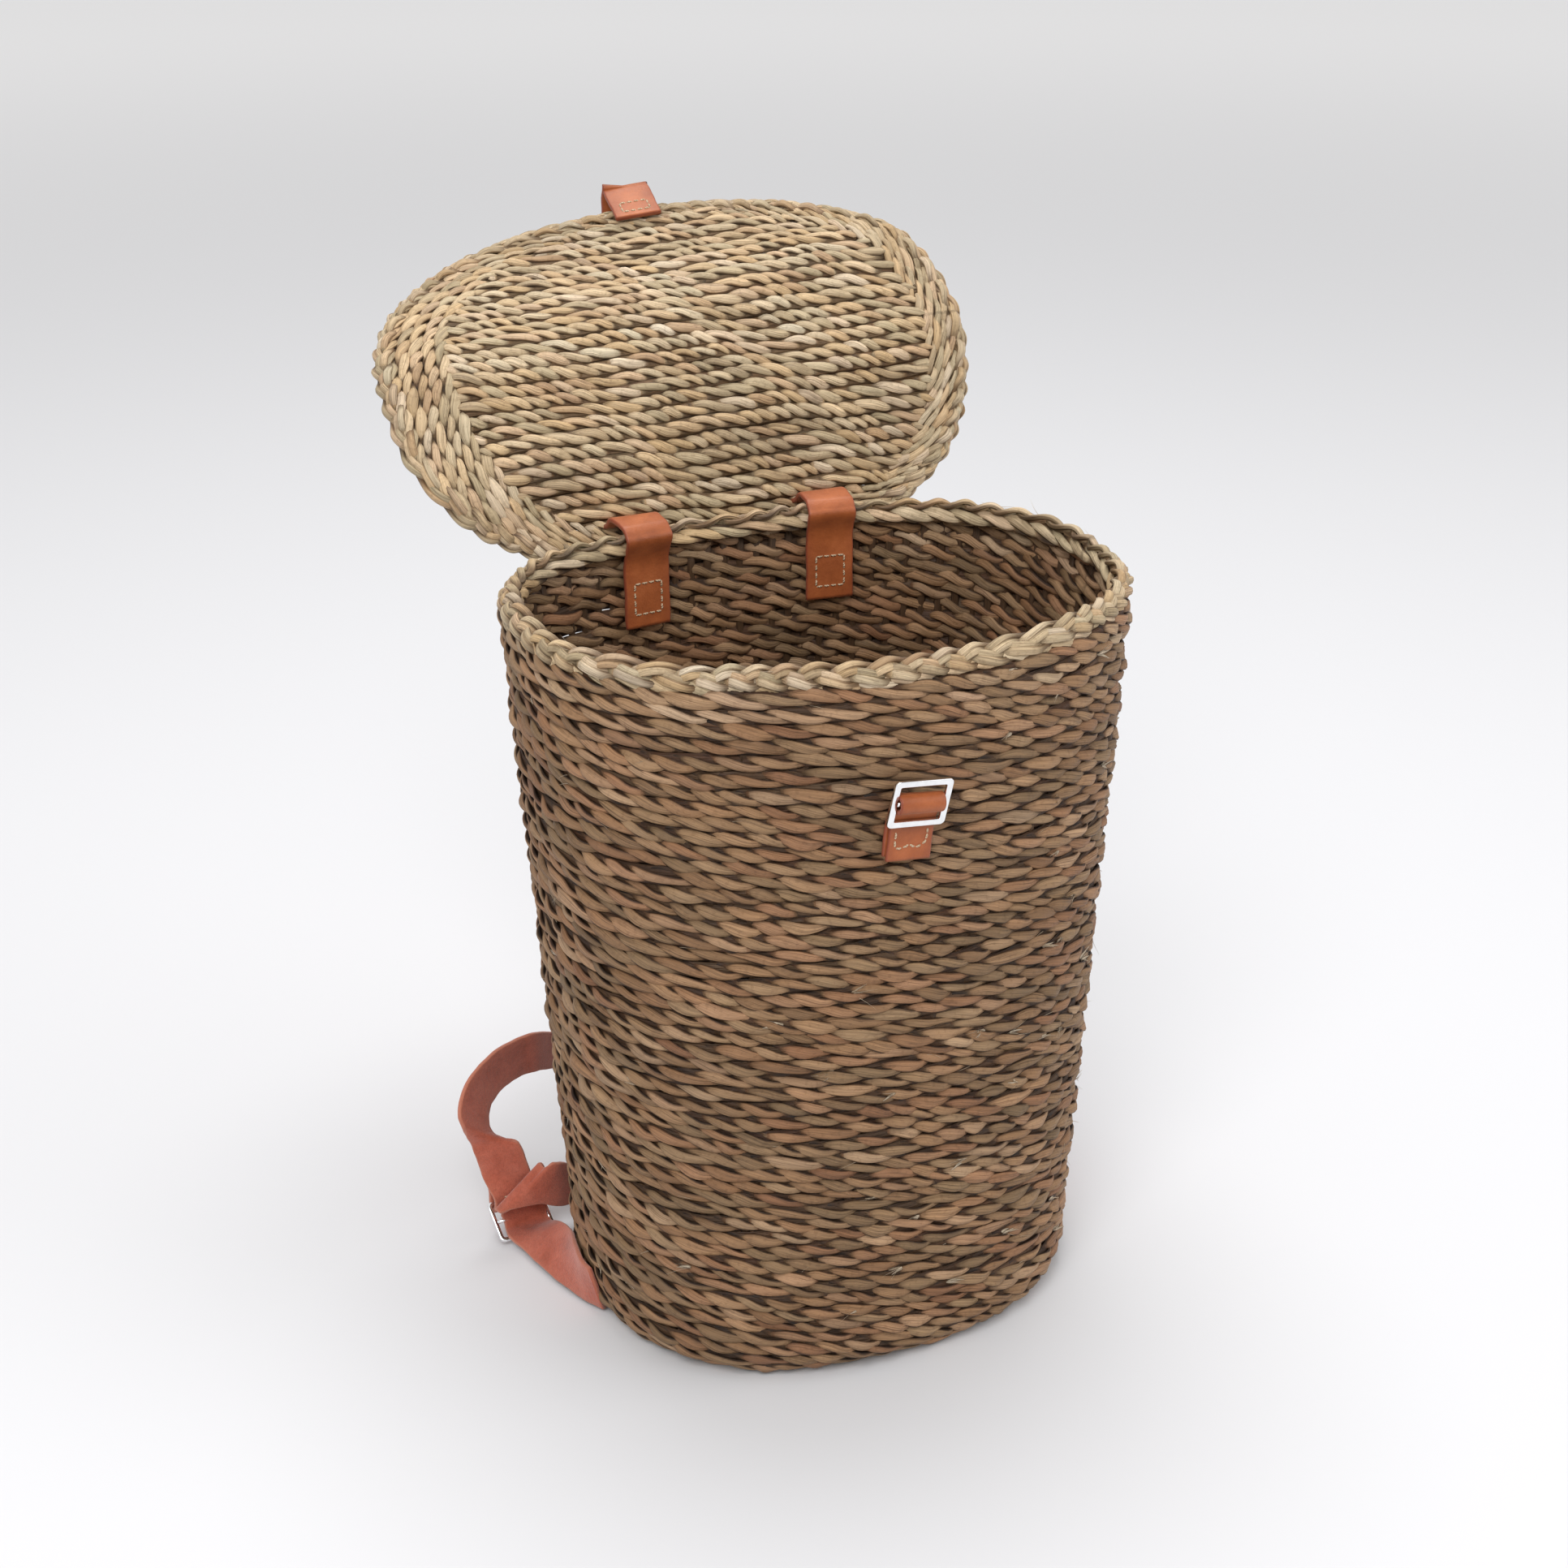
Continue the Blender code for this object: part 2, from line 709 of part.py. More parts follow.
upper_strap_shares = (
    ((-0.956, 0.747, 0.0870), (0.98, -0.10, 0.13)),
    ((-0.991, 0.747, 0.1420), (0.96, -0.10, 0.15)),
    ((-1.057, 0.756, 0.1940), (0.816, 0.397, -0.42)),
    ((-0.967, 0.951, 0.2010), (0.50, 0.35, -0.79)),
    ((-0.845, 1.084, 0.2070), (0.28, 0.31, -0.90)),
    ((-0.743, 1.182, 0.1990), (0.123, 0.271, -0.954)),
    ((-0.602, 1.316, 0.1700), (0.0, 0.15, -0.99)),
    ((-0.480, 1.387, 0.1710), (0.0, 0.10, -0.99)),
    ((-0.373, 1.387, 0.2250), (0.60, 0.0, -0.80)),
    ((-0.293, 1.307, 0.3270), (0.98, 0.0, -0.20)),
    ((-0.253, 1.191, 0.4820), (1.0, 0.0, 0.0)),
    ((-0.240, 1.102, 0.6290), (1.0, 0.0, 0.0)),
    ((-0.240, 1.068, 0.6850), (1.0, 0.0, 0.0)),
)
folded_up = (-0.17, -0.02, 0.985)
lower_strap_shares = (
    ((-0.8600, 0.187, 0.0382), (0.02, 0.02, 1.0)),
    ((-0.8640, 0.284, 0.0380), (0.02, 0.00, 1.0)),
    ((-0.8853, 0.444, 0.0354), (0.32, 0.00, 0.95)),
    ((-0.9267, 0.609, 0.0244), (0.997, 0.068, 0.048)),
    ((-0.9267, 0.636, 0.0540), (0.997, 0.068, 0.048)),
)
corner_fold_shares = (-0.9233, 0.647, 0.0835)
corner_fold_across = (0.77, 0.0, 0.64)
corner_fold_width = 0.0354
corner_fold_radius = 0.0017
tail_shares = (
    ((-0.8473, 0.622, 0.0830), (0.00, -0.20, 0.98)),
    ((-0.8000, 0.640, 0.0720), (0.08, 0.10, 0.99)),
    ((-0.7547, 0.676, 0.0567), (0.15, 0.37, 0.92)),
    ((-0.6800, 0.756, 0.0480), (0.10, 0.30, 0.95)),
)
base_tab_shares = (
    ((-0.8540, 0.062, 0.0375), (-0.09, 0.24, 0.96)),
    ((-0.8593, 0.124, 0.0380), (0.0, 0.05, 1.0)),
)


def shared_place(shares):
    return Vector((shares[0] * rim_half_width, shares[1] * rim_half_depth, shares[2] * basket_height))


def mirrored(vector, side):
    return Vector((side * vector[0], vector[1], vector[2]))


def route(shares, side):
    """Stations from shares, as given for the left strap and mirrored for the right one."""
    stations = []
    for place, across in shares:
        stations.append((mirrored(shared_place(place), side), mirrored(across, side).normalized(), strap_width))
    return stations


def square_to(vector, across):
    return (vector - across * vector.dot(across)).normalized()


def make_slide(label, side):
    """The slide, with the middle of its top bar and the direction of its bars."""
    across = mirrored(slide_across, side).normalized()
    along = square_to(mirrored(slide_up, side), across)
    middle = mirrored(shared_place(slide_shares), side)
    slide = metal_slide(
        "shoulder_slide_" + label, slide_width, slide_height, slide_rail, slide_rail, slide_rail, slide_corner
    )
    turn = Matrix((across, along, across.cross(along))).transposed()
    slide.matrix_world = Matrix.Translation(middle) @ turn.to_4x4()
    return middle + along * (slide_height - slide_rail) / 2, across


def make_upper_strap(label, side, bar, across):
    """From the fold sewn round the slide's top bar to the top of the back wall."""
    layer = slide_rail * math.sqrt(2) / 2 + 2 * fit + leather / 2
    up = square_to(mirrored(folded_up, side), across)
    out = across.cross(up) * side
    stations = [(bar + up * fold_leaf_length - out * layer, across, strap_width)]
    for degrees in range(0, 181, 30):
        angle = math.radians(degrees)
        place = bar - out * layer * math.cos(angle) - up * layer * math.sin(angle)
        stations.append((place, across, strap_width))
    free = [(bar + up * fold_leaf_length + out * layer, across, strap_width)]
    stations += smooth_stations(free + route(upper_strap_shares, side), 3)
    ribbon("shoulder_strap_upper_" + label, stations, leather, strap_leather)

    out_of_leather = layer + leather / 2 + fit + thread_radius
    place = bar + up * fold_thread_rise + out * out_of_leather
    ends = [place - across * hinge_square_width / 2, place + across * hinge_square_width / 2]
    tube("fold_thread_" + label, ends, thread_radius, cream_thread, sides=1)


def make_lower_strap(label, side):
    """From the foot of the wall over the slide, then folded across itself into the tail."""
    stations = smooth_stations(route(lower_strap_shares, side), 4)
    across = mirrored(corner_fold_across, side).normalized()
    middle = mirrored(shared_place(corner_fold_shares), side)
    away = square_to(z_axis, across)
    for degrees in range(90, -91, -45):
        angle = math.radians(degrees)
        place = middle + y_axis * corner_fold_radius * math.sin(angle)
        place += away * corner_fold_radius * math.cos(angle)
        stations.append((place, across, corner_fold_width))
    stations += smooth_stations(route(tail_shares, side), 3)
    ribbon("shoulder_strap_lower_" + label, stations, leather, strap_leather)


def make_top_tab(label, side):
    """The sewn top end of a shoulder strap, on the outside of the back wall."""
    x = -side * top_tab_x_share * rim_half_width
    sewn_bottom = top_tab_top - top_tab_length
    turn = wall_turn(x, top_tab_top, 1)
    end = mirrored(shared_place(upper_strap_shares[-1][0]), side)

    def off_wall(z):
        return wall_y(x, z, 1) + fit + curved_wall_gap / 2 + leather / 2

    across = Vector((math.cos(turn), math.sin(turn), 0.0))
    between = (sewn_bottom + end.z) / 2
    stations = [
        (Vector((x, off_wall(top_tab_top), top_tab_top)), across, strap_width),
        (Vector((x, off_wall(sewn_bottom), sewn_bottom)), across, strap_width),
        (Vector((x, (off_wall(between) + end.y) / 2, between)), across, strap_width),
        (Vector((x, end.y, end.z + running_gap + tab_tip_length)), x_axis, strap_width),
        (Vector((x, end.y, end.z + running_gap)), x_axis, tab_tip_width),
    ]
    ribbon("shoulder_top_tab_" + label, stations, leather, strap_leather)

    middle_z = top_tab_top - top_tab_length / 2
    thread = square_thread("top_thread_" + label, hinge_square_width / 2, hinge_square / 2)
    thread.location = (x, off_wall(middle_z) + thread_lift, middle_z)
    thread.rotation_euler = (-math.atan(depth_lean), 0.0, turn)


def make_base_tab(label, side):
    """The lower end of a shoulder strap, where it comes out of the weave at the foot."""
    stations = route(base_tab_shares, side)
    start, across, width = route(lower_strap_shares, side)[0]
    stations.append((start - y_axis * (running_gap + tab_tip_length), across, width))
    stations.append((start - y_axis * running_gap, across, tab_tip_width))
    ribbon("shoulder_base_tab_" + label, stations, leather, strap_leather)


for strap_label, strap_side in (("left", 1), ("right", -1)):
    top_bar, bar_direction = make_slide(strap_label, strap_side)
    make_upper_strap(strap_label, strap_side, top_bar, bar_direction)
    make_lower_strap(strap_label, strap_side)
    make_top_tab(strap_label, strap_side)
    make_base_tab(strap_label, strap_side)
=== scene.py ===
import math
import bmesh
import bpy
import numpy as np
from mathutils import Matrix, Vector

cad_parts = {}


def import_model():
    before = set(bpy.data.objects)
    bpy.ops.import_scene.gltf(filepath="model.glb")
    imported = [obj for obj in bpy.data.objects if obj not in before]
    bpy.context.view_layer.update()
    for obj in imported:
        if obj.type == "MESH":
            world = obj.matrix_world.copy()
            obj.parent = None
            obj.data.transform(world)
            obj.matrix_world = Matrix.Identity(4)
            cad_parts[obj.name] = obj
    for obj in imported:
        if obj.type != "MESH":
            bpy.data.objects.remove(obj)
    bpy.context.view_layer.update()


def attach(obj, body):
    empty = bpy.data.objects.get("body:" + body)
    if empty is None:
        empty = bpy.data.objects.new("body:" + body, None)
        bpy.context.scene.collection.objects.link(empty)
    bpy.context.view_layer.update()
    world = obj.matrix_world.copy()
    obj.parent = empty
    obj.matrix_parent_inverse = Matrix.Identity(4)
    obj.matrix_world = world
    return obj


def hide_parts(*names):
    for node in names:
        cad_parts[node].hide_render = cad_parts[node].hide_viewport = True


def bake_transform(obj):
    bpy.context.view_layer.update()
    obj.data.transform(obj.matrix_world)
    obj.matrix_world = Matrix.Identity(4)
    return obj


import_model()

dice = np.random.default_rng(41)


# Basket sizes in metres, the same as the frame's
basket = {
    "height": 0.3735,
    "rimHalf": (0.150, 0.1125),
    "footHalf": (0.1255, 0.1073),
    "frontPower": (2.28, 2.15),  # foot, rim
    "backPower": (2.35, 2.70),
    "footRound": 0.0143,
    "wall": 0.0070,
    "rimRadius": 0.0058,
}

# Lid sizes as it lies closed, and its soft bend
lid = {
    "half": (0.157, 0.109),
    "centre": (-0.0027, 0.008),
    "back": 0.117,
    "middle": 0.3825,
    "thick": 0.0072,
    "powers": (2.15, 2.70),
    "borderLeft": 0.037,
    "borderRight": 0.023,
    "borderEnds": 0.014,
    "hinge": (0.0, 0.1047, 0.3649),
    "open": math.radians(111),
    "bend": math.radians(23),
    "skew": math.radians(10.9),
    "crease": 0.104,
    "halfBend": 0.031,
    "top": 0.3870,
}


def unit(v):
    v = np.asarray(v, float)
    return v / np.maximum(np.linalg.norm(v, axis=-1, keepdims=True), 1e-12)


def mix(a, b, t):
    return a + (b - a) * t


# ---- materials

def newMaterial(name):
    made = bpy.data.materials.new(name)
    made.use_nodes = True
    return made, made.node_tree, made.node_tree.nodes["Principled BSDF"]


def addNode(tree, kind, sockets=None, **settings):
    made = tree.nodes.new("ShaderNode" + kind)
    for key, value in settings.items():
        setattr(made, key, value)
    for key, value in (sockets or {}).items():
        if isinstance(value, bpy.types.NodeSocket):
            tree.links.new(value, made.inputs[key])
        else:
            made.inputs[key].default_value = value
    return made


def ramp(tree, factor, stops, interpolation="LINEAR"):
    made = addNode(tree, "ValToRGB", {"Fac": factor})
    made.color_ramp.interpolation = interpolation
    while len(made.color_ramp.elements) < len(stops):
        made.color_ramp.elements.new(0.5)
    for element, (place, colour) in zip(made.color_ramp.elements, stops):
        element.position = place
        element.color = (*colour, 1.0)
    return made.outputs["Color"]


def blendColour(tree, factor, a, b, kind="MIX"):
    made = addNode(tree, "Mix", data_type="RGBA", blend_type=kind, clamp_factor=True)
    for socket, value in ((made.inputs[0], factor), (made.inputs[6], a), (made.inputs[7], b)):
        if isinstance(value, bpy.types.NodeSocket):
            tree.links.new(value, socket)
        elif isinstance(value, (int, float)):
            socket.default_value = value
        else:
            socket.default_value = (*value, 1.0)
    return made.outputs[2]


def calc(tree, kind, *values, clamp=False):
    made = addNode(tree, "Math", operation=kind, use_clamp=clamp)
    for socket, value in zip(made.inputs, values):
        if isinstance(value, bpy.types.NodeSocket):
            tree.links.new(value, socket)
        else:
            socket.default_value = value
    return made.outputs[0]


def makeSeagrass(name, look):
    """Twisted grass leaves: long fibres, a tone for each turn, and painted shade where a turn goes under, taken from
    the strand's shade value.
    """
    made, tree, shader = newMaterial(name)
    strand = addNode(tree, "Attribute", attribute_name="strand").outputs["Vector"]
    tone = addNode(tree, "Attribute", attribute_name="tone").outputs["Vector"]
    split = addNode(tree, "SeparateXYZ", {"Vector": strand})
    along, across, shade = split.outputs
    tones = addNode(tree, "SeparateXYZ", {"Vector": tone})
    toneA, toneB, toneC = tones.outputs

    lengthwise = addNode(tree, "CombineXYZ", {"X": calc(tree, "MULTIPLY", along, 60.0), "Y": calc(tree, "MULTIPLY", across, 2.6), "Z": calc(tree, "MULTIPLY", toneC, 37.0)})
    fibres = addNode(tree, "TexNoise", {"Vector": lengthwise.outputs[0], "Scale": 1.0, "Detail": 5.0, "Roughness": 0.65}).outputs["Fac"]
    ridged = addNode(tree, "CombineXYZ", {"X": calc(tree, "MULTIPLY", along, 22.0), "Y": calc(tree, "MULTIPLY", across, 7.0), "Z": calc(tree, "MULTIPLY", toneC, 11.0)})
    ridges = addNode(tree, "TexNoise", {"Vector": ridged.outputs[0], "Scale": 1.0, "Detail": 3.0, "Roughness": 0.55}).outputs["Fac"]
    place = addNode(tree, "TexCoord").outputs["Object"]
    patches = addNode(tree, "TexNoise", {"Vector": place, "Scale": 9.0, "Detail": 3.0}).outputs["Fac"]
    specks = addNode(tree, "TexNoise", {"Vector": place, "Scale": 420.0, "Detail": 2.0}).outputs["Fac"]

    base = ramp(tree, toneA, look["tones"])
    warm = ramp(tree, toneB, look["hues"])
    colour = blendColour(tree, look["hueShare"], base, warm, "MIX")
    lines = ramp(tree, fibres, [(0.30, (0.62, 0.60, 0.57)), (0.52, (1.0, 1.0, 1.0)), (0.75, (1.18, 1.16, 1.12))])
    colour = blendColour(tree, 0.85, colour, lines, "MULTIPLY")
    # Painted shade and highlight: the ridges noise that drives the deeper bump also darkens the colour in the grooves
    # and lightens it on the ridges.
    grooves = ramp(tree, ridges, [(0.32, (0.46, 0.41, 0.36)), (0.42, (0.86, 0.84, 0.82)), (0.52, (1.0, 1.0, 1.0)), (0.74, (1.22, 1.20, 1.16))])
    colour = blendColour(tree, 0.85, colour, grooves, "MULTIPLY")
    wide = ramp(tree, patches, [(0.32, (0.88, 0.87, 0.86)), (0.68, (1.10, 1.09, 1.07))])
    colour = blendColour(tree, 0.8, colour, wide, "MULTIPLY")
    dots = ramp(tree, specks, [(0.34, (0.70, 0.66, 0.62)), (0.44, (1.0, 1.0, 1.0))])
    colour = blendColour(tree, 0.5, colour, dots, "MULTIPLY")
    # Painted shade: the strand's shade value darkens the colour where a leaf goes under its neighbour and at its curled
    # edges; the ramp's top stop above 1 is a slight painted highlight on fully exposed leaves.
    under = ramp(tree, shade, look["under"])
    colour = blendColour(tree, 1.0, colour, under, "MULTIPLY")
    tree.links.new(colour, shader.inputs["Base Color"])

    rough = calc(tree, "MULTIPLY_ADD", fibres, 0.30, look["rough"] - 0.15)
    tree.links.new(rough, shader.inputs["Roughness"])
    shader.inputs["Specular IOR Level"].default_value = look["gloss"]
    fine = addNode(tree, "Bump", {"Strength": 0.55, "Distance": 0.0006, "Height": fibres})
    deep = addNode(tree, "Bump", {"Strength": 0.75, "Distance": 0.0012, "Height": ridges, "Normal": fine.outputs[0]})
    tree.links.new(deep.outputs[0], shader.inputs["Normal"])
    return made


# Each look's under ramp is painted shade, with a slight painted highlight at its top stop.
grassOut = makeSeagrass("seagrass_wall", {
    "tones": [(0.0, (0.105, 0.053, 0.026)), (0.25, (0.200, 0.108, 0.053)), (0.60, (0.310, 0.178, 0.093)), (0.84, (0.420, 0.258, 0.146)), (1.0, (0.59, 0.43, 0.29))],
    "hues": [(0.0, (0.22, 0.168, 0.090)), (0.34, (0.29, 0.184, 0.094)), (0.58, (0.34, 0.188, 0.088)), (0.82, (0.33, 0.143, 0.070)), (1.0, (0.57, 0.42, 0.27))],
    "hueShare": 0.40,
    "under": [(0.0, (0.03, 0.020, 0.013)), (0.40, (0.24, 0.19, 0.145)), (0.72, (0.90, 0.88, 0.86)), (1.0, (1.10, 1.10, 1.09))],
    "rough": 0.58,
    "gloss": 0.38,
})
grassPale = makeSeagrass("seagrass_pale", {
    "tones": [(0.0, (0.29, 0.195, 0.115)), (0.30, (0.44, 0.320, 0.195)), (0.62, (0.590, 0.450, 0.290)), (0.86, (0.71, 0.57, 0.40)), (1.0, (0.84, 0.74, 0.58))],
    "hues": [(0.0, (0.36, 0.32, 0.20)), (0.36, (0.50, 0.39, 0.25)), (0.62, (0.60, 0.40, 0.19)), (0.85, (0.47, 0.27, 0.15)), (1.0, (0.74, 0.65, 0.52))],
    "hueShare": 0.45,
    "under": [(0.0, (0.05, 0.035, 0.024)), (0.40, (0.32, 0.26, 0.205)), (0.72, (0.94, 0.93, 0.91)), (1.0, (1.08, 1.08, 1.07))],
    "rough": 0.56,
    "gloss": 0.40,
})


def makeLeather(name, look):
    """Leather: fine grain, long soft blotches, a sheen, and a paler raw edge from the strip's own attribute."""
    made, tree, shader = newMaterial(name)
    place = addNode(tree, "TexCoord").outputs["Object"]
    edge = addNode(tree, "SeparateXYZ", {"Vector": addNode(tree, "Attribute", attribute_name="strap").outputs["Vector"]}).outputs
    pores = addNode(tree, "TexVoronoi", {"Vector": place, "Scale": look["grain"]}, feature="F1").outputs["Distance"]
    nap = addNode(tree, "TexNoise", {"Vector": place, "Scale": look["grain"] * 0.45, "Detail": 6.0, "Roughness": 0.7}).outputs["Fac"]
    blotch = addNode(tree, "TexNoise", {"Vector": place, "Scale": 55.0, "Detail": 5.0, "Roughness": 0.62}).outputs["Fac"]
    broad = addNode(tree, "TexNoise", {"Vector": place, "Scale": 17.0, "Detail": 2.0}).outputs["Fac"]
    colour = ramp(tree, blotch, look["blotch"])
    fuzz = ramp(tree, nap, [(0.28, (look["dark"],) * 3), (0.50, (1.0, 1.0, 1.0)), (0.72, (look["light"],) * 3)])
    colour = blendColour(tree, 1.0, colour, fuzz, "MULTIPLY")
    broadTone = ramp(tree, broad, [(0.34, (0.90, 0.88, 0.87)), (0.66, (1.08, 1.07, 1.06))])
    colour = blendColour(tree, 0.8, colour, broadTone, "MULTIPLY")
    colour = blendColour(tree, edge[2], colour, look["edge"], "MIX")
    tree.links.new(colour, shader.inputs["Base Color"])
    rough = calc(tree, "MULTIPLY_ADD", nap, look["roughRange"], look["rough"])
    tree.links.new(rough, shader.inputs["Roughness"])
    shader.inputs["Specular IOR Level"].default_value = look["gloss"]
    shader.inputs["Sheen Weight"].default_value = look["sheen"]
    shader.inputs["Sheen Roughness"].default_value = 0.5
    small = addNode(tree, "Bump", {"Strength": look["bump"], "Distance": 0.0004, "Height": pores})
    soft = addNode(tree, "Bump", {"Strength": look["bump"], "Distance": 0.0008, "Height": nap, "Normal": small.outputs[0]})
    tree.links.new(soft.outputs[0], shader.inputs["Normal"])
    return made


smoothLeather = makeLeather("smooth_leather", {
    "grain": 900.0, "dark": 0.93, "light": 1.05,
    "blotch": [(0.30, (0.255, 0.064, 0.017)), (0.50, (0.345, 0.092, 0.025)), (0.70, (0.430, 0.125, 0.038))],
    "edge": (0.25, 0.055, 0.022), "rough": 0.34, "roughRange": 0.22, "gloss": 0.40, "sheen": 0.04, "bump": 0.18,
})
suedeLeather = makeLeather("suede_leather", {
    "grain": 1300.0, "dark": 0.78, "light": 1.14,
    "blotch": [(0.26, (0.29, 0.066, 0.034)), (0.46, (0.41, 0.100, 0.058)), (0.74, (0.50, 0.145, 0.092))],
    "edge": (0.46, 0.16, 0.10), "rough": 0.70, "roughRange": 0.25, "gloss": 0.18, "sheen": 0.30, "bump": 0.45,
})


def makeChrome():
    made, tree, shader = newMaterial("bright_chrome")
    place = addNode(tree, "TexCoord").outputs["Object"]
    wear = addNode(tree, "TexNoise", {"Vector": place, "Scale": 260.0, "Detail": 4.0}).outputs["Fac"]
    streak = addNode(tree, "TexNoise", {"Vector": addNode(tree, "Mapping", {"Vector": place, "Scale": (60.0, 60.0, 900.0)}).outputs[0], "Scale": 1.0, "Detail": 3.0}).outputs["Fac"]
    colour = ramp(tree, wear, [(0.25, (0.78, 0.785, 0.80)), (0.60, (0.90, 0.905, 0.915))])
    tree.links.new(colour, shader.inputs["Base Color"])
    shader.inputs["Metallic"].default_value = 1.0
    tree.links.new(calc(tree, "MULTIPLY_ADD", streak, 0.16, 0.06), shader.inputs["Roughness"])
    dents = addNode(tree, "Bump", {"Strength": 0.06, "Distance": 0.0003, "Height": wear})
    tree.links.new(dents.outputs[0], shader.inputs["Normal"])
    return made


def makeThread():
    made, tree, shader = newMaterial("waxed_thread")
    strand = addNode(tree, "SeparateXYZ", {"Vector": addNode(tree, "Attribute", attribute_name="strand").outputs["Vector"]}).outputs
    turns = calc(tree, "MULTIPLY_ADD", strand[0], 5200.0, calc(tree, "MULTIPLY", strand[1], 2.0))
    ply = calc(tree, "SINE", turns)
    noise = addNode(tree, "TexNoise", {"Vector": addNode(tree, "TexCoord").outputs["Object"], "Scale": 900.0, "Detail": 3.0}).outputs["Fac"]
    colour = ramp(tree, noise, [(0.30, (0.50, 0.35, 0.21)), (0.70, (0.78, 0.62, 0.44))])
    # Painted shade: the colour is darkened in the grooves between the thread's plies, where the bump dips.
    groove = ramp(tree, calc(tree, "MULTIPLY_ADD", ply, 0.5, 0.5), [(0.0, (0.55, 0.50, 0.45)), (0.45, (1.0, 1.0, 1.0))])
    tree.links.new(blendColour(tree, 0.8, colour, groove, "MULTIPLY"), shader.inputs["Base Color"])
    shader.inputs["Roughness"].default_value = 0.7
    lift = addNode(tree, "Bump", {"Strength": 0.8, "Distance": 0.0003, "Height": ply})
    tree.links.new(lift.outputs[0], shader.inputs["Normal"])
    return made


chrome = makeChrome()
threadCream = makeThread()
print("materials made")


# ---- woven mesh

class Weave:
    """Gathers closed or open strands, then makes one mesh with the strands' own attributes."""

    def __init__(self):
        self.points, self.faces, self.strand, self.tone, self.count = [], [], [], [], 0

    def add(self, grid, strand, tone, closed):
        rings, sides = grid.shape[:2]
        index = np.arange(rings * sides).reshape(rings, sides) + self.count
        before = index if closed else index[:-1]
        after = np.roll(index, -1, axis=0) if closed else index[1:]
        quads = np.stack([before, np.roll(before, -1, 1), np.roll(after, -1, 1), after], -1).reshape(-1, 4)
        self.faces.append(quads)
        if not closed:
            for ring, step in ((index[0], -1), (index[-1], 1)):
                for first in range(1, sides - 2, 2):
                    self.faces.append(ring[[0, first, first + 1, first + 2]][::step][None])
        self.points.append(grid.reshape(-1, 3))
        self.strand.append(strand.reshape(-1, 3))
        self.tone.append(tone.reshape(-1, 3))
        self.count += rings * sides

    def arrays(self):
        return tuple(np.concatenate(item) for item in (self.points, self.faces, self.strand, self.tone))


def meshFrom(name, points, faces, values, material):
    """A smooth mesh from arrays, with a vector attribute for each entry of values."""
    used = np.unique(faces)
    renumber = np.full(len(points), -1)
    renumber[used] = np.arange(len(used))
    points, faces = points[used], renumber[faces]
    faces = faces[[len(set(face)) == len(face) for face in faces.tolist()]] if len(faces) < 4000 else faces
    data = bpy.data.meshes.new(name)
    data.vertices.add(len(points))
    data.vertices.foreach_set("co", points.astype(np.float32).ravel())
    sides = faces.shape[1]
    data.loops.add(faces.size)
    data.loops.foreach_set("vertex_index", faces.astype(np.int32).ravel())
    data.polygons.add(len(faces))
    data.polygons.foreach_set("loop_start", np.arange(0, faces.size, sides, dtype=np.int32))
    data.update(calc_edges=True)
    data.validate()
    for key, value in values.items():
        layer = data.attributes.new(key, "FLOAT_VECTOR", "POINT")
        layer.data.foreach_set("vector", value[used].astype(np.float32).ravel())
    data.shade_smooth()
    data.materials.append(material)
    obj = bpy.data.objects.new(name, data)
    bpy.context.scene.collection.objects.link(obj)
    return obj


def ringGrid(centre, lateral, normal, halfWide, halfThick, sides, flat=1.0):
    """Rings of a strand: flat below 1 squares the section, so that a leaf lies flatter."""
    angle = 2 * math.pi * np.arange(sides) / sides
    c, s = np.cos(angle), np.sin(angle)
    c, s = np.sign(c) * np.abs(c) ** flat, np.sign(s) * np.abs(s) ** flat
    grid = centre[:, None] + lateral[:, None] * (halfWide[:, None] * c)[..., None]
    return grid + normal[:, None] * (halfThick[:, None] * s)[..., None], c, s


def unevenTurns(steps, turns, stretch):
    """Half turns done at each step of a row, some drawn out and some short. Closes on itself."""
    drift = np.sin(2 * math.pi * (3 * np.arange(turns) / turns + dice.random()))
    shift = stretch * (dice.random(turns) - 0.5) + 0.7 * stretch * drift
    place = steps * turns
    first = np.floor(place).astype(int)
    part = place - first
    part = part * part * (3 - 2 * part)
    return place + mix(shift[first % turns], shift[(first + 1) % turns], part)


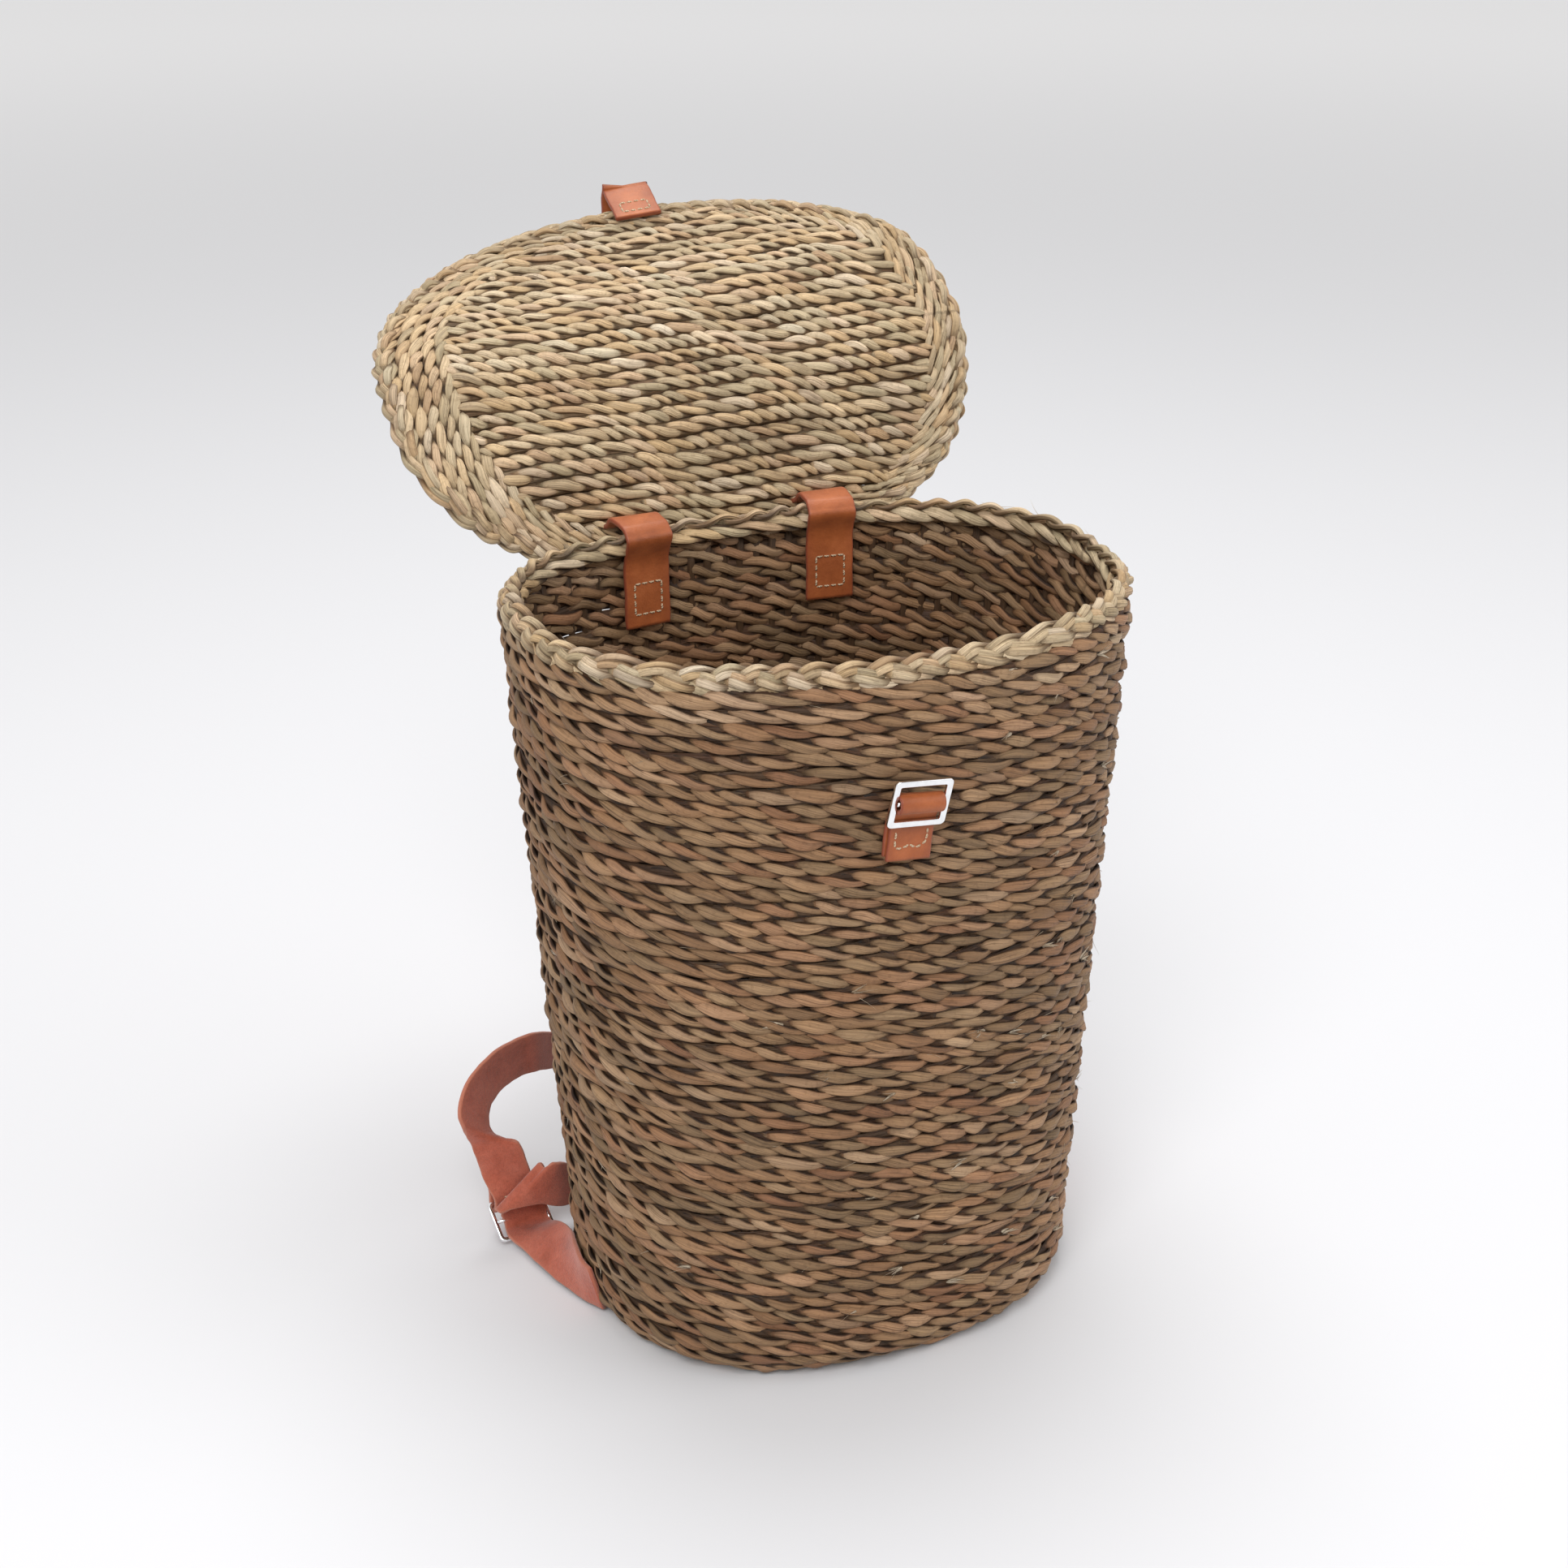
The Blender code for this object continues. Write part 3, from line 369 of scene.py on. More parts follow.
def twine(weave, base, up, out, along, turns, look, closed, toneBase=0.5, toneSpread=0.5):
    """Leaves twisted round each other along a row. turns counts half turns, and each shows one leaf."""
    count = len(base)
    steps = np.arange(count) / (count if closed else count - 1)
    place = unevenTurns(steps, turns, look["stretch"]) + look["phase"] + 3
    for ply in range(look["plies"]):
        phase = place + 2 * ply / look["plies"]
        turn = np.floor(phase).astype(int)
        phase = math.pi * phase
        own = dice.random((turns, 6))[turn % turns] if closed else dice.random((turns + 9, 6))[turn]
        front = np.sin(phase)
        rise = np.abs(front)
        full = rise ** look["point"]
        halfWide = mix(look["pinch"], look["wide"] * (1 + look["uneven"] * (own[:, 0] - 0.5)), full)
        halfThick = look["thick"] * (0.80 + 0.20 * full)
        behind = np.maximum(-front, 0.0)
        halfWide = mix(halfWide, look["roundWide"], behind * look["round"])
        halfThick = mix(halfThick, look["roundThick"], behind * look["round"])
        lateral = look["sway"] * np.cos(phase) * (1 + look["round"] * behind + look["steep"] * rise)
        lateral = lateral + look["jitter"] * (own[:, 2] - 0.5) * rise
        lift = look["lift"] * front * (1 + 0.35 * (own[:, 3] - 0.5) * rise)
        centre = base + up * lateral[:, None] + out * lift[:, None]
        roll = look["roll"] * (own[:, 4] - 0.5) * rise - look["wrap"] * np.sin(2 * phase)
        side = up * np.cos(roll)[:, None] + out * np.sin(roll)[:, None]
        face = out * np.cos(roll)[:, None] - up * np.sin(roll)[:, None]
        if not closed:
            tip = np.clip(np.minimum(steps, 1 - steps) * count / 3.0, 0.12, 1.0)
            halfWide, halfThick = halfWide * tip, halfThick * tip
        grid, c, s = ringGrid(centre, side, face, halfWide, halfThick, look["sides"], look["flat"])
        # Painted shade: where a turn goes behind its neighbour, and at the strand's curled edges, the shade value
        # darkens the colour.
        shown = np.clip(0.55 + 1.0 * front[:, None] * np.sign(s)[None] * np.abs(s)[None] ** 0.5, 0.03, 1.0)
        shade = shown * (1.0 - 0.50 * np.abs(c)[None] ** 6)
        along2 = np.broadcast_to(along[:, None] + ply * 3.1, shade.shape)
        strand = np.stack([along2, np.broadcast_to(c[None], shade.shape), shade], -1)
        toneA = np.clip(toneBase + toneSpread * (own[:, 5] - 0.5), 0, 1)
        tone = np.stack([np.broadcast_to(v[:, None], shade.shape) for v in (toneA, own[:, 1], own[:, 2])], -1)
        weave.add(grid, strand, tone, closed)


def plait(weave, base, up, out, along, period, look, closed, toneBase=0.6, toneSpread=0.5):
    """Three strands plaited flat, each of some leaves. period counts whole plait lengths along the row."""
    count = len(base)
    steps = np.arange(count) / (count if closed else count - 1)
    drift = 0.10 * np.sin(2 * math.pi * (4 * steps + dice.random())) + 0.06 * np.sin(2 * math.pi * (9 * steps + dice.random()))
    for ply in range(3):
        turns = steps * period + drift + ply / 3 + 1
        phase = 2 * math.pi * turns
        bend = np.floor(2 * turns).astype(int) % (2 * period)
        for leaf in np.linspace(-1, 1, look["leaves"]):
            own = dice.random((2 * period, 6))[bend]
            rise = np.abs(np.sin(phase)) ** 0.5
            lateral = look["swing"] * np.sin(phase) + look["split"] * (leaf + 0.5 * (own[:, 0] - 0.5) * rise)
            lift = look["lift"] * np.sin(2 * phase) - look["sink"] * abs(leaf) + 0.0006 * (own[:, 2] - 0.5) * rise
            centre = base + up * lateral[:, None] + out * lift[:, None]
            roll = -0.55 * np.sin(phase) * look["rollOver"] - 0.30 * leaf + 0.3 * (own[:, 4] - 0.5) * rise
            side = up * np.cos(roll)[:, None] + out * np.sin(roll)[:, None]
            face = out * np.cos(roll)[:, None] - up * np.sin(roll)[:, None]
            halfWide = look["wide"] * (1 + look["uneven"] * (own[:, 1] - 0.5) * rise)
            grid, c, s = ringGrid(centre, side, face, halfWide, np.full(count, look["thick"]), look["sides"], look["flat"])
            # Painted shade: a strand is darkened where it passes under the other strands and at its curled edges.
            over = np.clip(0.5 + 0.5 * np.sin(2 * phase), 0, 1)
            shade = np.clip((0.40 + 0.60 * over[:, None]) * (1.0 - 0.50 * np.abs(c)[None] ** 6), 0, 1)
            strand = np.stack([np.broadcast_to(along[:, None] + ply * 3.1 + leaf, shade.shape), np.broadcast_to(c[None], shade.shape), shade], -1)
            toneA = np.clip(toneBase + toneSpread * (own[:, 5] - 0.5), 0, 1)
            tone = np.stack([np.broadcast_to(v[:, None], shade.shape) for v in (toneA, own[:, 3], own[:, 4])], -1)
            weave.add(grid, strand, tone, closed)


# ---- basket outline

def ovalPoints(half, powers, centre=(0.0, 0.0), count=1440):
    angle = 2 * math.pi * np.arange(count) / count
    c, s = np.cos(angle), np.sin(angle)
    power = 2 / np.where(s > 0, powers[1], powers[0])
    x = half[0] * np.sign(c) * np.abs(c) ** power
    y = half[1] * np.sign(s) * np.abs(s) ** power
    return np.stack([centre[0] + x, centre[1] + y], -1)


def evenRing(flat, count, shift=0.0):
    """Evenly spaced points round a closed outline: place, direction along, direction out, length so far."""
    closedLine = np.vstack([flat, flat[:1]])
    step = np.linalg.norm(np.diff(closedLine, axis=0), axis=1)
    length = np.concatenate([[0], np.cumsum(step)])
    want = (np.arange(count) / count + shift) % 1.0 * length[-1]
    place = np.stack([np.interp(want, length, closedLine[:, k]) for k in range(2)], -1)
    ahead = np.roll(place, -1, 0) - np.roll(place, 1, 0)
    tangent = unit(ahead)
    outward = np.stack([tangent[:, 1], -tangent[:, 0]], -1)
    return place, tangent, outward, want, length[-1]


def wallProfile(run):
    """Height, inset, and outward share of the wall's outer face at a run up from the foot's edge."""
    quarter = basket["footRound"] * math.pi / 2
    if run < quarter:
        angle = run / basket["footRound"]
        z = basket["footRound"] * (1 - math.cos(angle))
        inset = basket["footRound"] * (1 - math.sin(angle))
        return z, inset, math.sin(angle), math.cos(angle)
    return basket["footRound"] + run - quarter, 0.0, 1.0, 0.0


def wallSizes(z):
    share = z / basket["height"]
    half = [mix(a, b, share) for a, b in zip(basket["footHalf"], basket["rimHalf"])]
    powers = (mix(*basket["frontPower"], share), mix(*basket["backPower"], share))
    return half, powers


wallLook = {
    "rows": 51,
    "plies": 3,
    "turnLength": 0.0230,
    "steps": 11,
    "sides": 8,
    "flat": 0.95,
    "wide": 0.0029,
    "pinch": 0.0014,
    "point": 0.75,
    "thick": 0.00135,
    "lift": 0.00205,
    "sway": 0.0020,
    "jitter": 0.0020,
    "uneven": 0.48,
    "roll": 0.80,
    "wrap": 0.30,
    "stretch": 0.34,
    "steep": 0.0,
    "round": 0.8,
    "roundWide": 0.0029,
    "roundThick": 0.0018,
    "phase": 0.0,
}


def addCore(weave, base, up, out, along, closed=True):
    """The inner leaves of a row, seen between its outer ones, darkened by a fixed painted shade of 0.34."""
    base, up, out, along = (item[::4] for item in (base, up, out, along))
    wide, thick = np.full(len(base), 0.0046), np.full(len(base), 0.0012)
    grid, c, s = ringGrid(base, up, out, wide, thick, 6)
    shape = grid.shape[:2]
    # Painted shade: the fixed shade value 0.34 darkens the core, which lies deep in the row.
    strand = np.stack([np.broadcast_to(along[:, None], shape), np.broadcast_to(c[None], shape), np.full(shape, 0.34)], -1)
    tone = np.broadcast_to(dice.random(3), shape + (3,))
    weave.add(grid, strand, tone, closed)


def makeWall():
    weave = Weave()
    quarter = basket["footRound"] * math.pi / 2
    top = basket["height"] - 2 * basket["rimRadius"] + 0.0010
    total = quarter + top - basket["footRound"]
    pitch = total / wallLook["rows"]
    for row in range(wallLook["rows"]):
        run = (row + 0.5) * pitch
        z, inset, outShare, downShare = wallProfile(run)
        half, powers = wallSizes(z)
        depth = basket["wall"] / 2 - 0.0008
        flat = ovalPoints([h - inset - depth * outShare for h in half], powers)
        length = np.linalg.norm(np.diff(np.vstack([flat, flat[:1]]), axis=0), axis=1).sum()
        turns = 2 * round(length / wallLook["turnLength"] / 2)
        count = turns * wallLook["steps"]
        place, tangent, outward, want, _ = evenRing(flat, count, shift=dice.random() * 0.02)
        angle = want / length * 2 * math.pi
        wave = 0.0009 * np.sin(angle * 3 + row * 0.55) + 0.0006 * np.sin(angle * 7 + row * 1.3) + 0.0004 * np.sin(angle * 16 + row * 2.9)
        height = z + depth * downShare + wave * outShare
        bulge = 0.0009 * (dice.random() - 0.5) + 0.0007 * np.sin(angle * 9 + row * 2.3) + 0.0005 * np.sin(angle * 23 + row * 1.9)
        place = place + outward * (bulge * outShare)[:, None]
        base = np.column_stack([place, np.maximum(height, 0.0032)])
        out = unit(np.column_stack([outward * outShare, np.full(count, -downShare)]))
        along3 = np.column_stack([tangent, np.zeros(count)])
        up = np.cross(out, along3)
        look = dict(wallLook, phase=dice.random())
        if row < 2:
            look = dict(look, lift=0.0012, thick=0.0014)
        addCore(weave, base, up, out, want)
        toneBase = 0.47 + 0.05 * math.sin(row * 1.7) + (0.22 if row >= 49 else 0.0)
        twine(weave, base, up, out, want + row * 0.91, turns, look, True, toneBase, 0.66)
    points, faces, strand, tone = weave.arrays()
    piece = meshFrom("woven_wall", points, faces, {"strand": strand, "tone": tone}, grassOut)
    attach(piece, "basket")
    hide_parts("basket_wall")
    print("wall:", len(points), "points")
    return piece


def makeBase():
    weave = Weave()
    inset = basket["footRound"] + 0.0030
    half = [h - inset for h in basket["footHalf"]]
    powers = (basket["frontPower"][0], basket["backPower"][0])
    row = 0
    while min(half) > 0.004:
        flat = ovalPoints(half, powers, count=720)
        length = np.linalg.norm(np.diff(np.vstack([flat, flat[:1]]), axis=0), axis=1).sum()
        turns = max(4, 2 * round(length / 0.0255 / 2))
        count = turns * 9
        place, tangent, outward, want, _ = evenRing(flat, count)
        base = np.column_stack([place, np.full(count, 0.0034)])
        out = np.tile([0.0, 0.0, -1.0], (count, 1))
        up = np.cross(out, np.column_stack([tangent, np.zeros(count)]))
        look = dict(wallLook, phase=0.5 * (row % 2), lift=0.0012, thick=0.0014, sides=6)
        twine(weave, base, up, out, want, turns, look, True, 0.45, 0.6)
        half = [h - 0.0072 for h in half]
        row += 1
    points, faces, strand, tone = weave.arrays()
    piece = meshFrom("woven_base", points, faces, {"strand": strand, "tone": tone}, grassOut)
    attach(piece, "basket")
    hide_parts("basket_base")
    print("base:", len(points), "points")


def makeStakes():
    """Upright stakes inside the weave, seen in the gaps between rows."""
    weave = Weave()
    amount, sides = 92, 6
    heights = np.linspace(0.016, basket["height"] - 0.012, 26)
    rings = []
    for z in heights:
        half, powers = wallSizes(z)
        place, tangent, outward, _, _ = evenRing(ovalPoints([h - basket["wall"] / 2 for h in half], powers, count=720), amount)
        rings.append((place, tangent, outward))
    for stake in range(amount):
        place = np.array([np.append(ring[0][stake], z) for ring, z in zip(rings, heights)])
        side = np.array([np.append(ring[1][stake], 0.0) for ring in rings])
        out = np.array([np.append(ring[2][stake], 0.0) for ring in rings])
        thin = np.full(len(heights), 0.0010)
        wide = np.full(len(heights), 0.0022)
        grid, c, s = ringGrid(place, -side, out, wide, thin, sides)
        # Painted shade: the stakes lie deep inside the weave, so a fixed shade value of 0.42 darkens their colour.
        shade = np.full(grid.shape[:2], 0.42)
        strand = np.stack([np.broadcast_to(heights[:, None], shade.shape), np.broadcast_to(c[None], shade.shape), shade], -1)
        pick = dice.random(3)
        tone = np.broadcast_to(np.array([0.25 + 0.3 * pick[0], 0.1 + 0.2 * pick[1], pick[2]]), shade.shape + (3,))
        weave.add(grid, strand, tone, False)
    points, faces, strand, tone = weave.arrays()
    piece = meshFrom("wall_stakes", points, faces, {"strand": strand, "tone": tone}, grassOut)
    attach(piece, "basket")


rimLook = {
    "plait": 0.044,
    "steps": 30,
    "leaves": 2,
    "split": 0.00145,
    "sides": 8,
    "flat": 0.92,
    "wide": 0.0021,
    "thick": 0.00135,
    "swing": 0.0031,
    "lift": 0.0019,
    "sink": 0.0,
    "rollOver": 1.0,
    "uneven": 0.30,
}


def ringRow(flat, turnLength, steps, shift=0.0):
    """A closed row laid on an outline: place, directions along and out, run, and its even count of turns."""
    length = np.linalg.norm(np.diff(np.vstack([flat, flat[:1]]), axis=0), axis=1).sum()
    turns = 2 * round(length / turnLength / 2)
    place, tangent, outward, run, _ = evenRing(flat, turns * steps, shift)
    return place, tangent, outward, run, turns


def makeRim():
    """The plaited edge, with a pale twined row below it outside and one inside."""
    weave = Weave()
    radius, powers = basket["rimRadius"], (basket["frontPower"][1], basket["backPower"][1])
    z = basket["height"] - radius
    flat = ovalPoints([h - radius for h in basket["rimHalf"]], powers)
    place, tangent, outward, run, turns = ringRow(flat, rimLook["plait"], rimLook["steps"])
    wave = 0.0005 * np.sin(run * 37 + 0.4) + 0.0004 * np.sin(run * 83)
    base = np.column_stack([place + outward * 0.0012, z + wave + 0.0008])
    flatOut = np.column_stack([outward, np.zeros(len(place))])
    tilt = math.radians(40)
    out = unit(flatOut * math.cos(tilt) + np.array([0, 0, math.sin(tilt)]))
    up = np.cross(out, np.column_stack([tangent, np.zeros(len(place))]))
    plait(weave, base, up, out, run, turns, rimLook, True, 0.50, 0.85)
    for inward, drop, slope, tone in ((0.0026, 0.0022, 2.6, 0.50), (-0.0016, 0.0042, 0.2, 0.58)):
        place, tangent, outward, run, turns = ringRow(flat, wallLook["turnLength"], wallLook["steps"])
        base = np.column_stack([place - outward * inward, np.full(len(place), z - drop)])
        out = np.column_stack([outward * math.cos(slope), np.full(len(place), math.sin(slope))])
        up = np.cross(out, np.column_stack([tangent, np.zeros(len(place))]))
        twine(weave, base, up, out, run + 2.0, turns, dict(wallLook, lift=0.0013, round=0.0), True, tone, 0.6)
    points, faces, strand, tone = weave.arrays()
    piece = meshFrom("plaited_rim", points, faces, {"strand": strand, "tone": tone}, grassPale)
    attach(piece, "basket")
    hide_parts("rim_braid")
    print("rim:", len(points), "points")


def frayedFibre(weave, root, way, lift, length, wide, thick, tone):
    """One torn fibre: it leaves the weave along its way, lifts off and curls."""
    t = np.linspace(0, 1, 7)
    curl = (dice.random(3) - 0.5) * 0.55
    path = root + way * (length * t)[:, None] + lift * (length * 0.45 * t**1.4)[:, None]
    path = path + curl * (length * t**2)[:, None]
    tangent = unit(np.gradient(path, axis=0))
    side = unit(np.cross(tangent, lift + 0.4 * (dice.random(3) - 0.5)))
    taper = (1 - 0.85 * t**2) * np.clip(t * 8 + 0.5, 0, 1)
    grid, c, s = ringGrid(path, side, np.cross(tangent, side), wide * taper, thick * taper, 4)
    shape = grid.shape[:2]
    strand = np.stack([np.broadcast_to((length * t)[:, None], shape), np.broadcast_to(c[None], shape), np.full(shape, 0.9)], -1)
    weave.add(grid, strand, np.broadcast_to(np.array(tone), shape + (3,)), False)


def underStrap(place, z):
    """Where the closing strap and the buckle lie against the front wall."""
    return place[1] < 0 and z > 0.24 and abs(place[0] + 0.004) < 0.034


def makeFrays():
    """Pale torn leaf ends and fine hairs on the wall and the rim."""
    weave = Weave()
    for tuft in range(110):
        angle = math.radians(dice.choice([-1, 1]) * 90 * dice.random() ** 0.8 - 100)
        z = 0.020 + (basket["height"] - 0.035) * dice.random()
        half, powers = wallSizes(z)
        place, tangent, outward, _, _ = evenRing(ovalPoints(half, powers, count=360), 360)
        spot = int(np.argmin(np.abs(np.arctan2(place[:, 1], place[:, 0]) - math.remainder(angle, 2 * math.pi))))
        if underStrap(place[spot], z):
            continue
        out = np.append(outward[spot], 0.0)
        along = np.append(tangent[spot], 0.0) * dice.choice([-1, 1])
        root = np.append(place[spot], z) - out * 0.0006
        big = tuft < 48
        for fibre in range(dice.integers(4, 8) if big else 1):
            way = unit(along + np.array([0, 0, 0.9 * (dice.random() - 0.5)]) + 0.35 * (dice.random(3) - 0.5))
            start = root + 0.0012 * (dice.random(3) - 0.5)
            flat = big and fibre < 3
            length = (0.0035 + 0.0045 * dice.random()) if flat else (0.004 + 0.007 * dice.random())
            wide = (0.0005 + 0.0005 * dice.random()) if flat else 0.00013
            frayedFibre(weave, start, way, out * (0.25 + 0.5 * dice.random()), length, wide, 0.00012, (0.80 + 0.2 * dice.random(), 0.9 + 0.1 * dice.random(), dice.random()))
    half = [h - 0.004 for h in basket["rimHalf"]]
    place, tangent, outward, _, _ = evenRing(ovalPoints(half, (basket["frontPower"][1], basket["backPower"][1])), 720)
    for hair in range(46):
        spot = dice.integers(0, 720)
        if underStrap(place[spot], basket["height"]):
            continue
        out = unit(np.append(outward[spot] * (dice.random() - 0.35), 0.6))
        along = np.append(tangent[spot], 0.3 * (dice.random() - 0.5)) * dice.choice([-1, 1])
        root = np.append(place[spot], basket["height"] - 0.0022)
        frayedFibre(weave, root, along, out * 0.5, 0.005 + 0.007 * dice.random(), 0.00014, 0.00012, (0.9, 0.95, dice.random()))
    points, faces, strand, tone = weave.arrays()
    piece = meshFrom("frayed_fibres", points, faces, {"strand": strand, "tone": tone}, grassPale)
    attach(piece, "basket")


makeWall()
makeBase()
makeStakes()
makeRim()
makeFrays()


# ---- lid

def turnAbout(points, origin, axis, angle):
    """Points turned about an axis by their own angles."""
    axis = unit(axis)
    v = points - origin
    c, s = np.cos(angle)[:, None], np.sin(angle)[:, None]
    return origin + v * c + np.cross(axis, v) * s + axis * (v @ axis)[:, None] * (1 - c)


creaseAcross = np.array([math.cos(lid["skew"]), -math.sin(lid["skew"]), 0.0])  # along a bend line
creaseAlong = np.array([-math.sin(lid["skew"]), -math.cos(lid["skew"]), 0.0])  # from the hinge edge to the front
creaseMiddle = np.array([lid["centre"][0], lid["back"] - lid["crease"], lid["top"]])
hingePoint = np.array(lid["hinge"])
xAxis = np.array([1.0, 0.0, 0.0])


def openHinge(points):
    return turnAbout(points, hingePoint, xAxis, np.full(len(points), -lid["open"]))


def bendRear(points, weight):
    at = creaseMiddle - creaseAlong * lid["halfBend"]
    return turnAbout(points, at, creaseAcross, -lid["bend"] * weight)


def bendFront(points, weight):
    at = creaseMiddle + creaseAlong * lid["halfBend"]
    return turnAbout(points, at, creaseAcross, -lid["bend"] * weight)


def restRear(points, weight):
    return openHinge(bendRear(points, weight))


def restFront(points, weight):
    return openHinge(bendRear(bendFront(points, weight), np.ones(len(points))))


def bendPlaces():
    """Where each blend starts and ends, at rest."""
    reach = 2 * lid["halfBend"]
    spots = [creaseMiddle - creaseAlong * reach, creaseMiddle, creaseMiddle + creaseAlong * reach]
    rear = restRear(np.array(spots[:1]), np.zeros(1))[0]
    middle = restRear(np.array(spots[1:2]), np.ones(1))[0]
    front = restFront(np.array(spots[2:]), np.ones(1))[0]
    return rear, middle, front


rearSpot, middleSpot, frontSpot = bendPlaces()


def smoothShare(points, start, end):
    reach = end - start
    t = np.clip((points - start) @ reach / (reach @ reach), 0, 1)
    return t * t * (3 - 2 * t)


def lidToRest(points, front):
    """Closed lid points taken to the open, softly bent lid."""
    toRest = restFront if front else restRear
    start, end = (middleSpot, frontSpot) if front else (rearSpot, middleSpot)
    weight = np.full(len(points), 0.5)
    for _ in range(12):
        weight = smoothShare(toRest(points, weight), start, end)
    return toRest(points, weight)


def bendPlace(points):
    """How far a closed lid point lies past the middle of the bend, towards the front."""
    return (points - creaseMiddle) @ creaseAlong


def lidPieces(name, arrays, values, material, replaced):
    """Splits closed lid geometry at the bend's middle and blends each half over its own joint."""
    points, faces = arrays
    side = bendPlace(points[faces].mean(axis=1)) > 0
    for label, front, mask, bodies, span in (
        ("rear", False, ~side, ("lid_rear", "lid_middle"), (rearSpot, middleSpot)),
        ("front", True, side, ("lid_middle", "lid_front"), (middleSpot, frontSpot)),
    ):
        if not mask.any():
            continue
        piece = meshFrom(name + "_" + label, lidToRest(points, front), faces[mask], values, material)
        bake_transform(piece)
        if replaced.get(label):
            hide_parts(*replaced[label])


lidLook = dict(
    wallLook,
    turnLength=0.0158,
    wide=0.0026,
    pinch=0.0015,
    thick=0.00180,
    lift=0.00165,
    sway=0.0019,
    jitter=0.0012,
    uneven=0.45,
    roll=0.50,
    steep=0.0,
    round=0.0,
)


def panelEdge(y, side):
    """The panel's edge on the left or right at a closed y."""
    half = (lid["half"][0] - (lid["borderLeft"] + lid["borderRight"]) / 2, lid["half"][1] - lid["borderEnds"])
    middle = lid["centre"][0] + (lid["borderLeft"] - lid["borderRight"]) / 2
    away = (y - lid["centre"][1]) / half[1]
    power = lid["powers"][1] if away > 0 else lid["powers"][0]
    reach = half[0] * max(0.0, 1 - abs(away) ** power) ** (1 / power)
    return middle + side * reach


def makePanel():
    weave = Weave()
    rows = 26
    low = lid["centre"][1] - lid["half"][1] + lid["borderEnds"] - 0.002
    high = lid["centre"][1] + lid["half"][1] - lid["borderEnds"] + 0.002
    pitch = (high - low) / rows
    for row in range(rows):
        y = high - (row + 0.5) * pitch
        inside = np.clip(y, low + 0.006, high - 0.006)
        left, right = panelEdge(inside, -1) - 0.004, panelEdge(inside, 1) + 0.004
        turns = max(2, round((right - left) / lidLook["turnLength"]))
        count = turns * 9 + 1
        x = np.linspace(left, right, count)
        wave = 0.0010 * np.sin(x * 55 + row * 0.4) + 0.0006 * np.sin(x * 130 + row * 0.7)
        ridge = 0.0006 * np.sin(row * 2.4) + 0.0005 * np.sin(x * 90 + row * 0.8)
        base = np.column_stack([x, y + wave, lid["middle"] + ridge])
        out = np.tile([0.0, 0.0, -1.0], (count, 1))
        up = np.cross(out, np.tile([1.0, 0.0, 0.0], (count, 1)))
        addCore(weave, base, up, out, x, False)
        # Painted light: the step at row 12 lightens the tones of the lid's front half, which stands highest when the
        # lid is open and catches more light; the step at row 20 darkens the rows at the front edge a little, and the
        # sine is a row-to-row tone.
        bright = 0.50 + 0.16 * (row > 12) - 0.05 * (row > 20) + 0.08 * math.sin(row * 1.1)
        twine(weave, base, up, out, x + row * 0.77, turns, dict(lidLook, phase=dice.random()), False, bright, 0.62)
    points, faces, strand, tone = weave.arrays()
    lidPieces("lid_weave", (points, faces), {"strand": strand, "tone": tone}, grassPale,
              {"rear": ("lid_panel_rear", "lid_panel_middle"), "front": ("lid_panel_front",)})
    print("lid panel:", len(points), "points")


def borderOutline(share):
    """An outline between the lid's edge, at 0, and the panel's edge, at 1."""
    outer = ovalPoints(lid["half"], lid["powers"], lid["centre"])
    half = (lid["half"][0] - (lid["borderLeft"] + lid["borderRight"]) / 2, lid["half"][1] - lid["borderEnds"])
    middle = (lid["centre"][0] + (lid["borderLeft"] - lid["borderRight"]) / 2, lid["centre"][1])
    return mix(outer, ovalPoints(half, lid["powers"], middle), share)


def makeBorder():
    """The plaited edge and the rows inside it, wide on the left and narrow on the right."""
    weave = Weave()
    flat = borderOutline(0.0)
    outward = evenRing(flat, len(flat))[2]
    place, tangent, outs, run, turns = ringRow(flat - outward * 0.0046, 0.044, rimLook["steps"])
    base = np.column_stack([place, np.full(len(place), lid["middle"])])
    tilt = math.radians(-50)
    out = unit(np.column_stack([outs * math.cos(tilt), np.full(len(place), math.sin(tilt))]))
    up = np.cross(out, np.column_stack([tangent, np.zeros(len(place))]))
    plait(weave, base, up, out, run, turns, dict(rimLook, wide=0.0019, swing=0.0027), True, 0.60, 0.6)
    for row in range(5):
        ring = borderOutline((row + 1.3) / 5.6)
        place, tangent, outs, run, turns = ringRow(ring, lidLook["turnLength"], 9)
        onSide = np.abs(place[:, 0] - lid["centre"][0]) / lid["half"][0]
        wideSide = np.where(place[:, 0] < 0, 1.0, 0.62)
        span = np.clip((onSide - 0.35) / 0.35, 0.0, 1.0)
        look = dict(lidLook, phase=dice.random(), wide=mix(0.0014, 0.0030, span * wideSide), pinch=0.0012)
        base = np.column_stack([place, np.full(len(place), lid["middle"] + 0.0003)])
        out = np.tile([0.0, 0.0, -1.0], (len(place), 1))
        up = np.cross(out, np.column_stack([tangent, np.zeros(len(place))]))
        twine(weave, base, up, out, run + row * 0.6, turns, look, True, 0.60, 0.6)
    points, faces, strand, tone = weave.arrays()
    lidPieces("lid_border", (points, faces), {"strand": strand, "tone": tone}, grassPale,
              {"rear": ("lid_border_rear", "lid_border_left", "lid_border_right"), "front": ("lid_border_front",)})
    print("lid border:", len(points), "points")


makePanel()
makeBorder()


# ---- leather and stitching

strapLook = {
    "width": 0.025,
    "leather": 0.0025,
    "thread": 0.00050,
    "stitch": 0.0031,
    "gap": 0.0009,
}


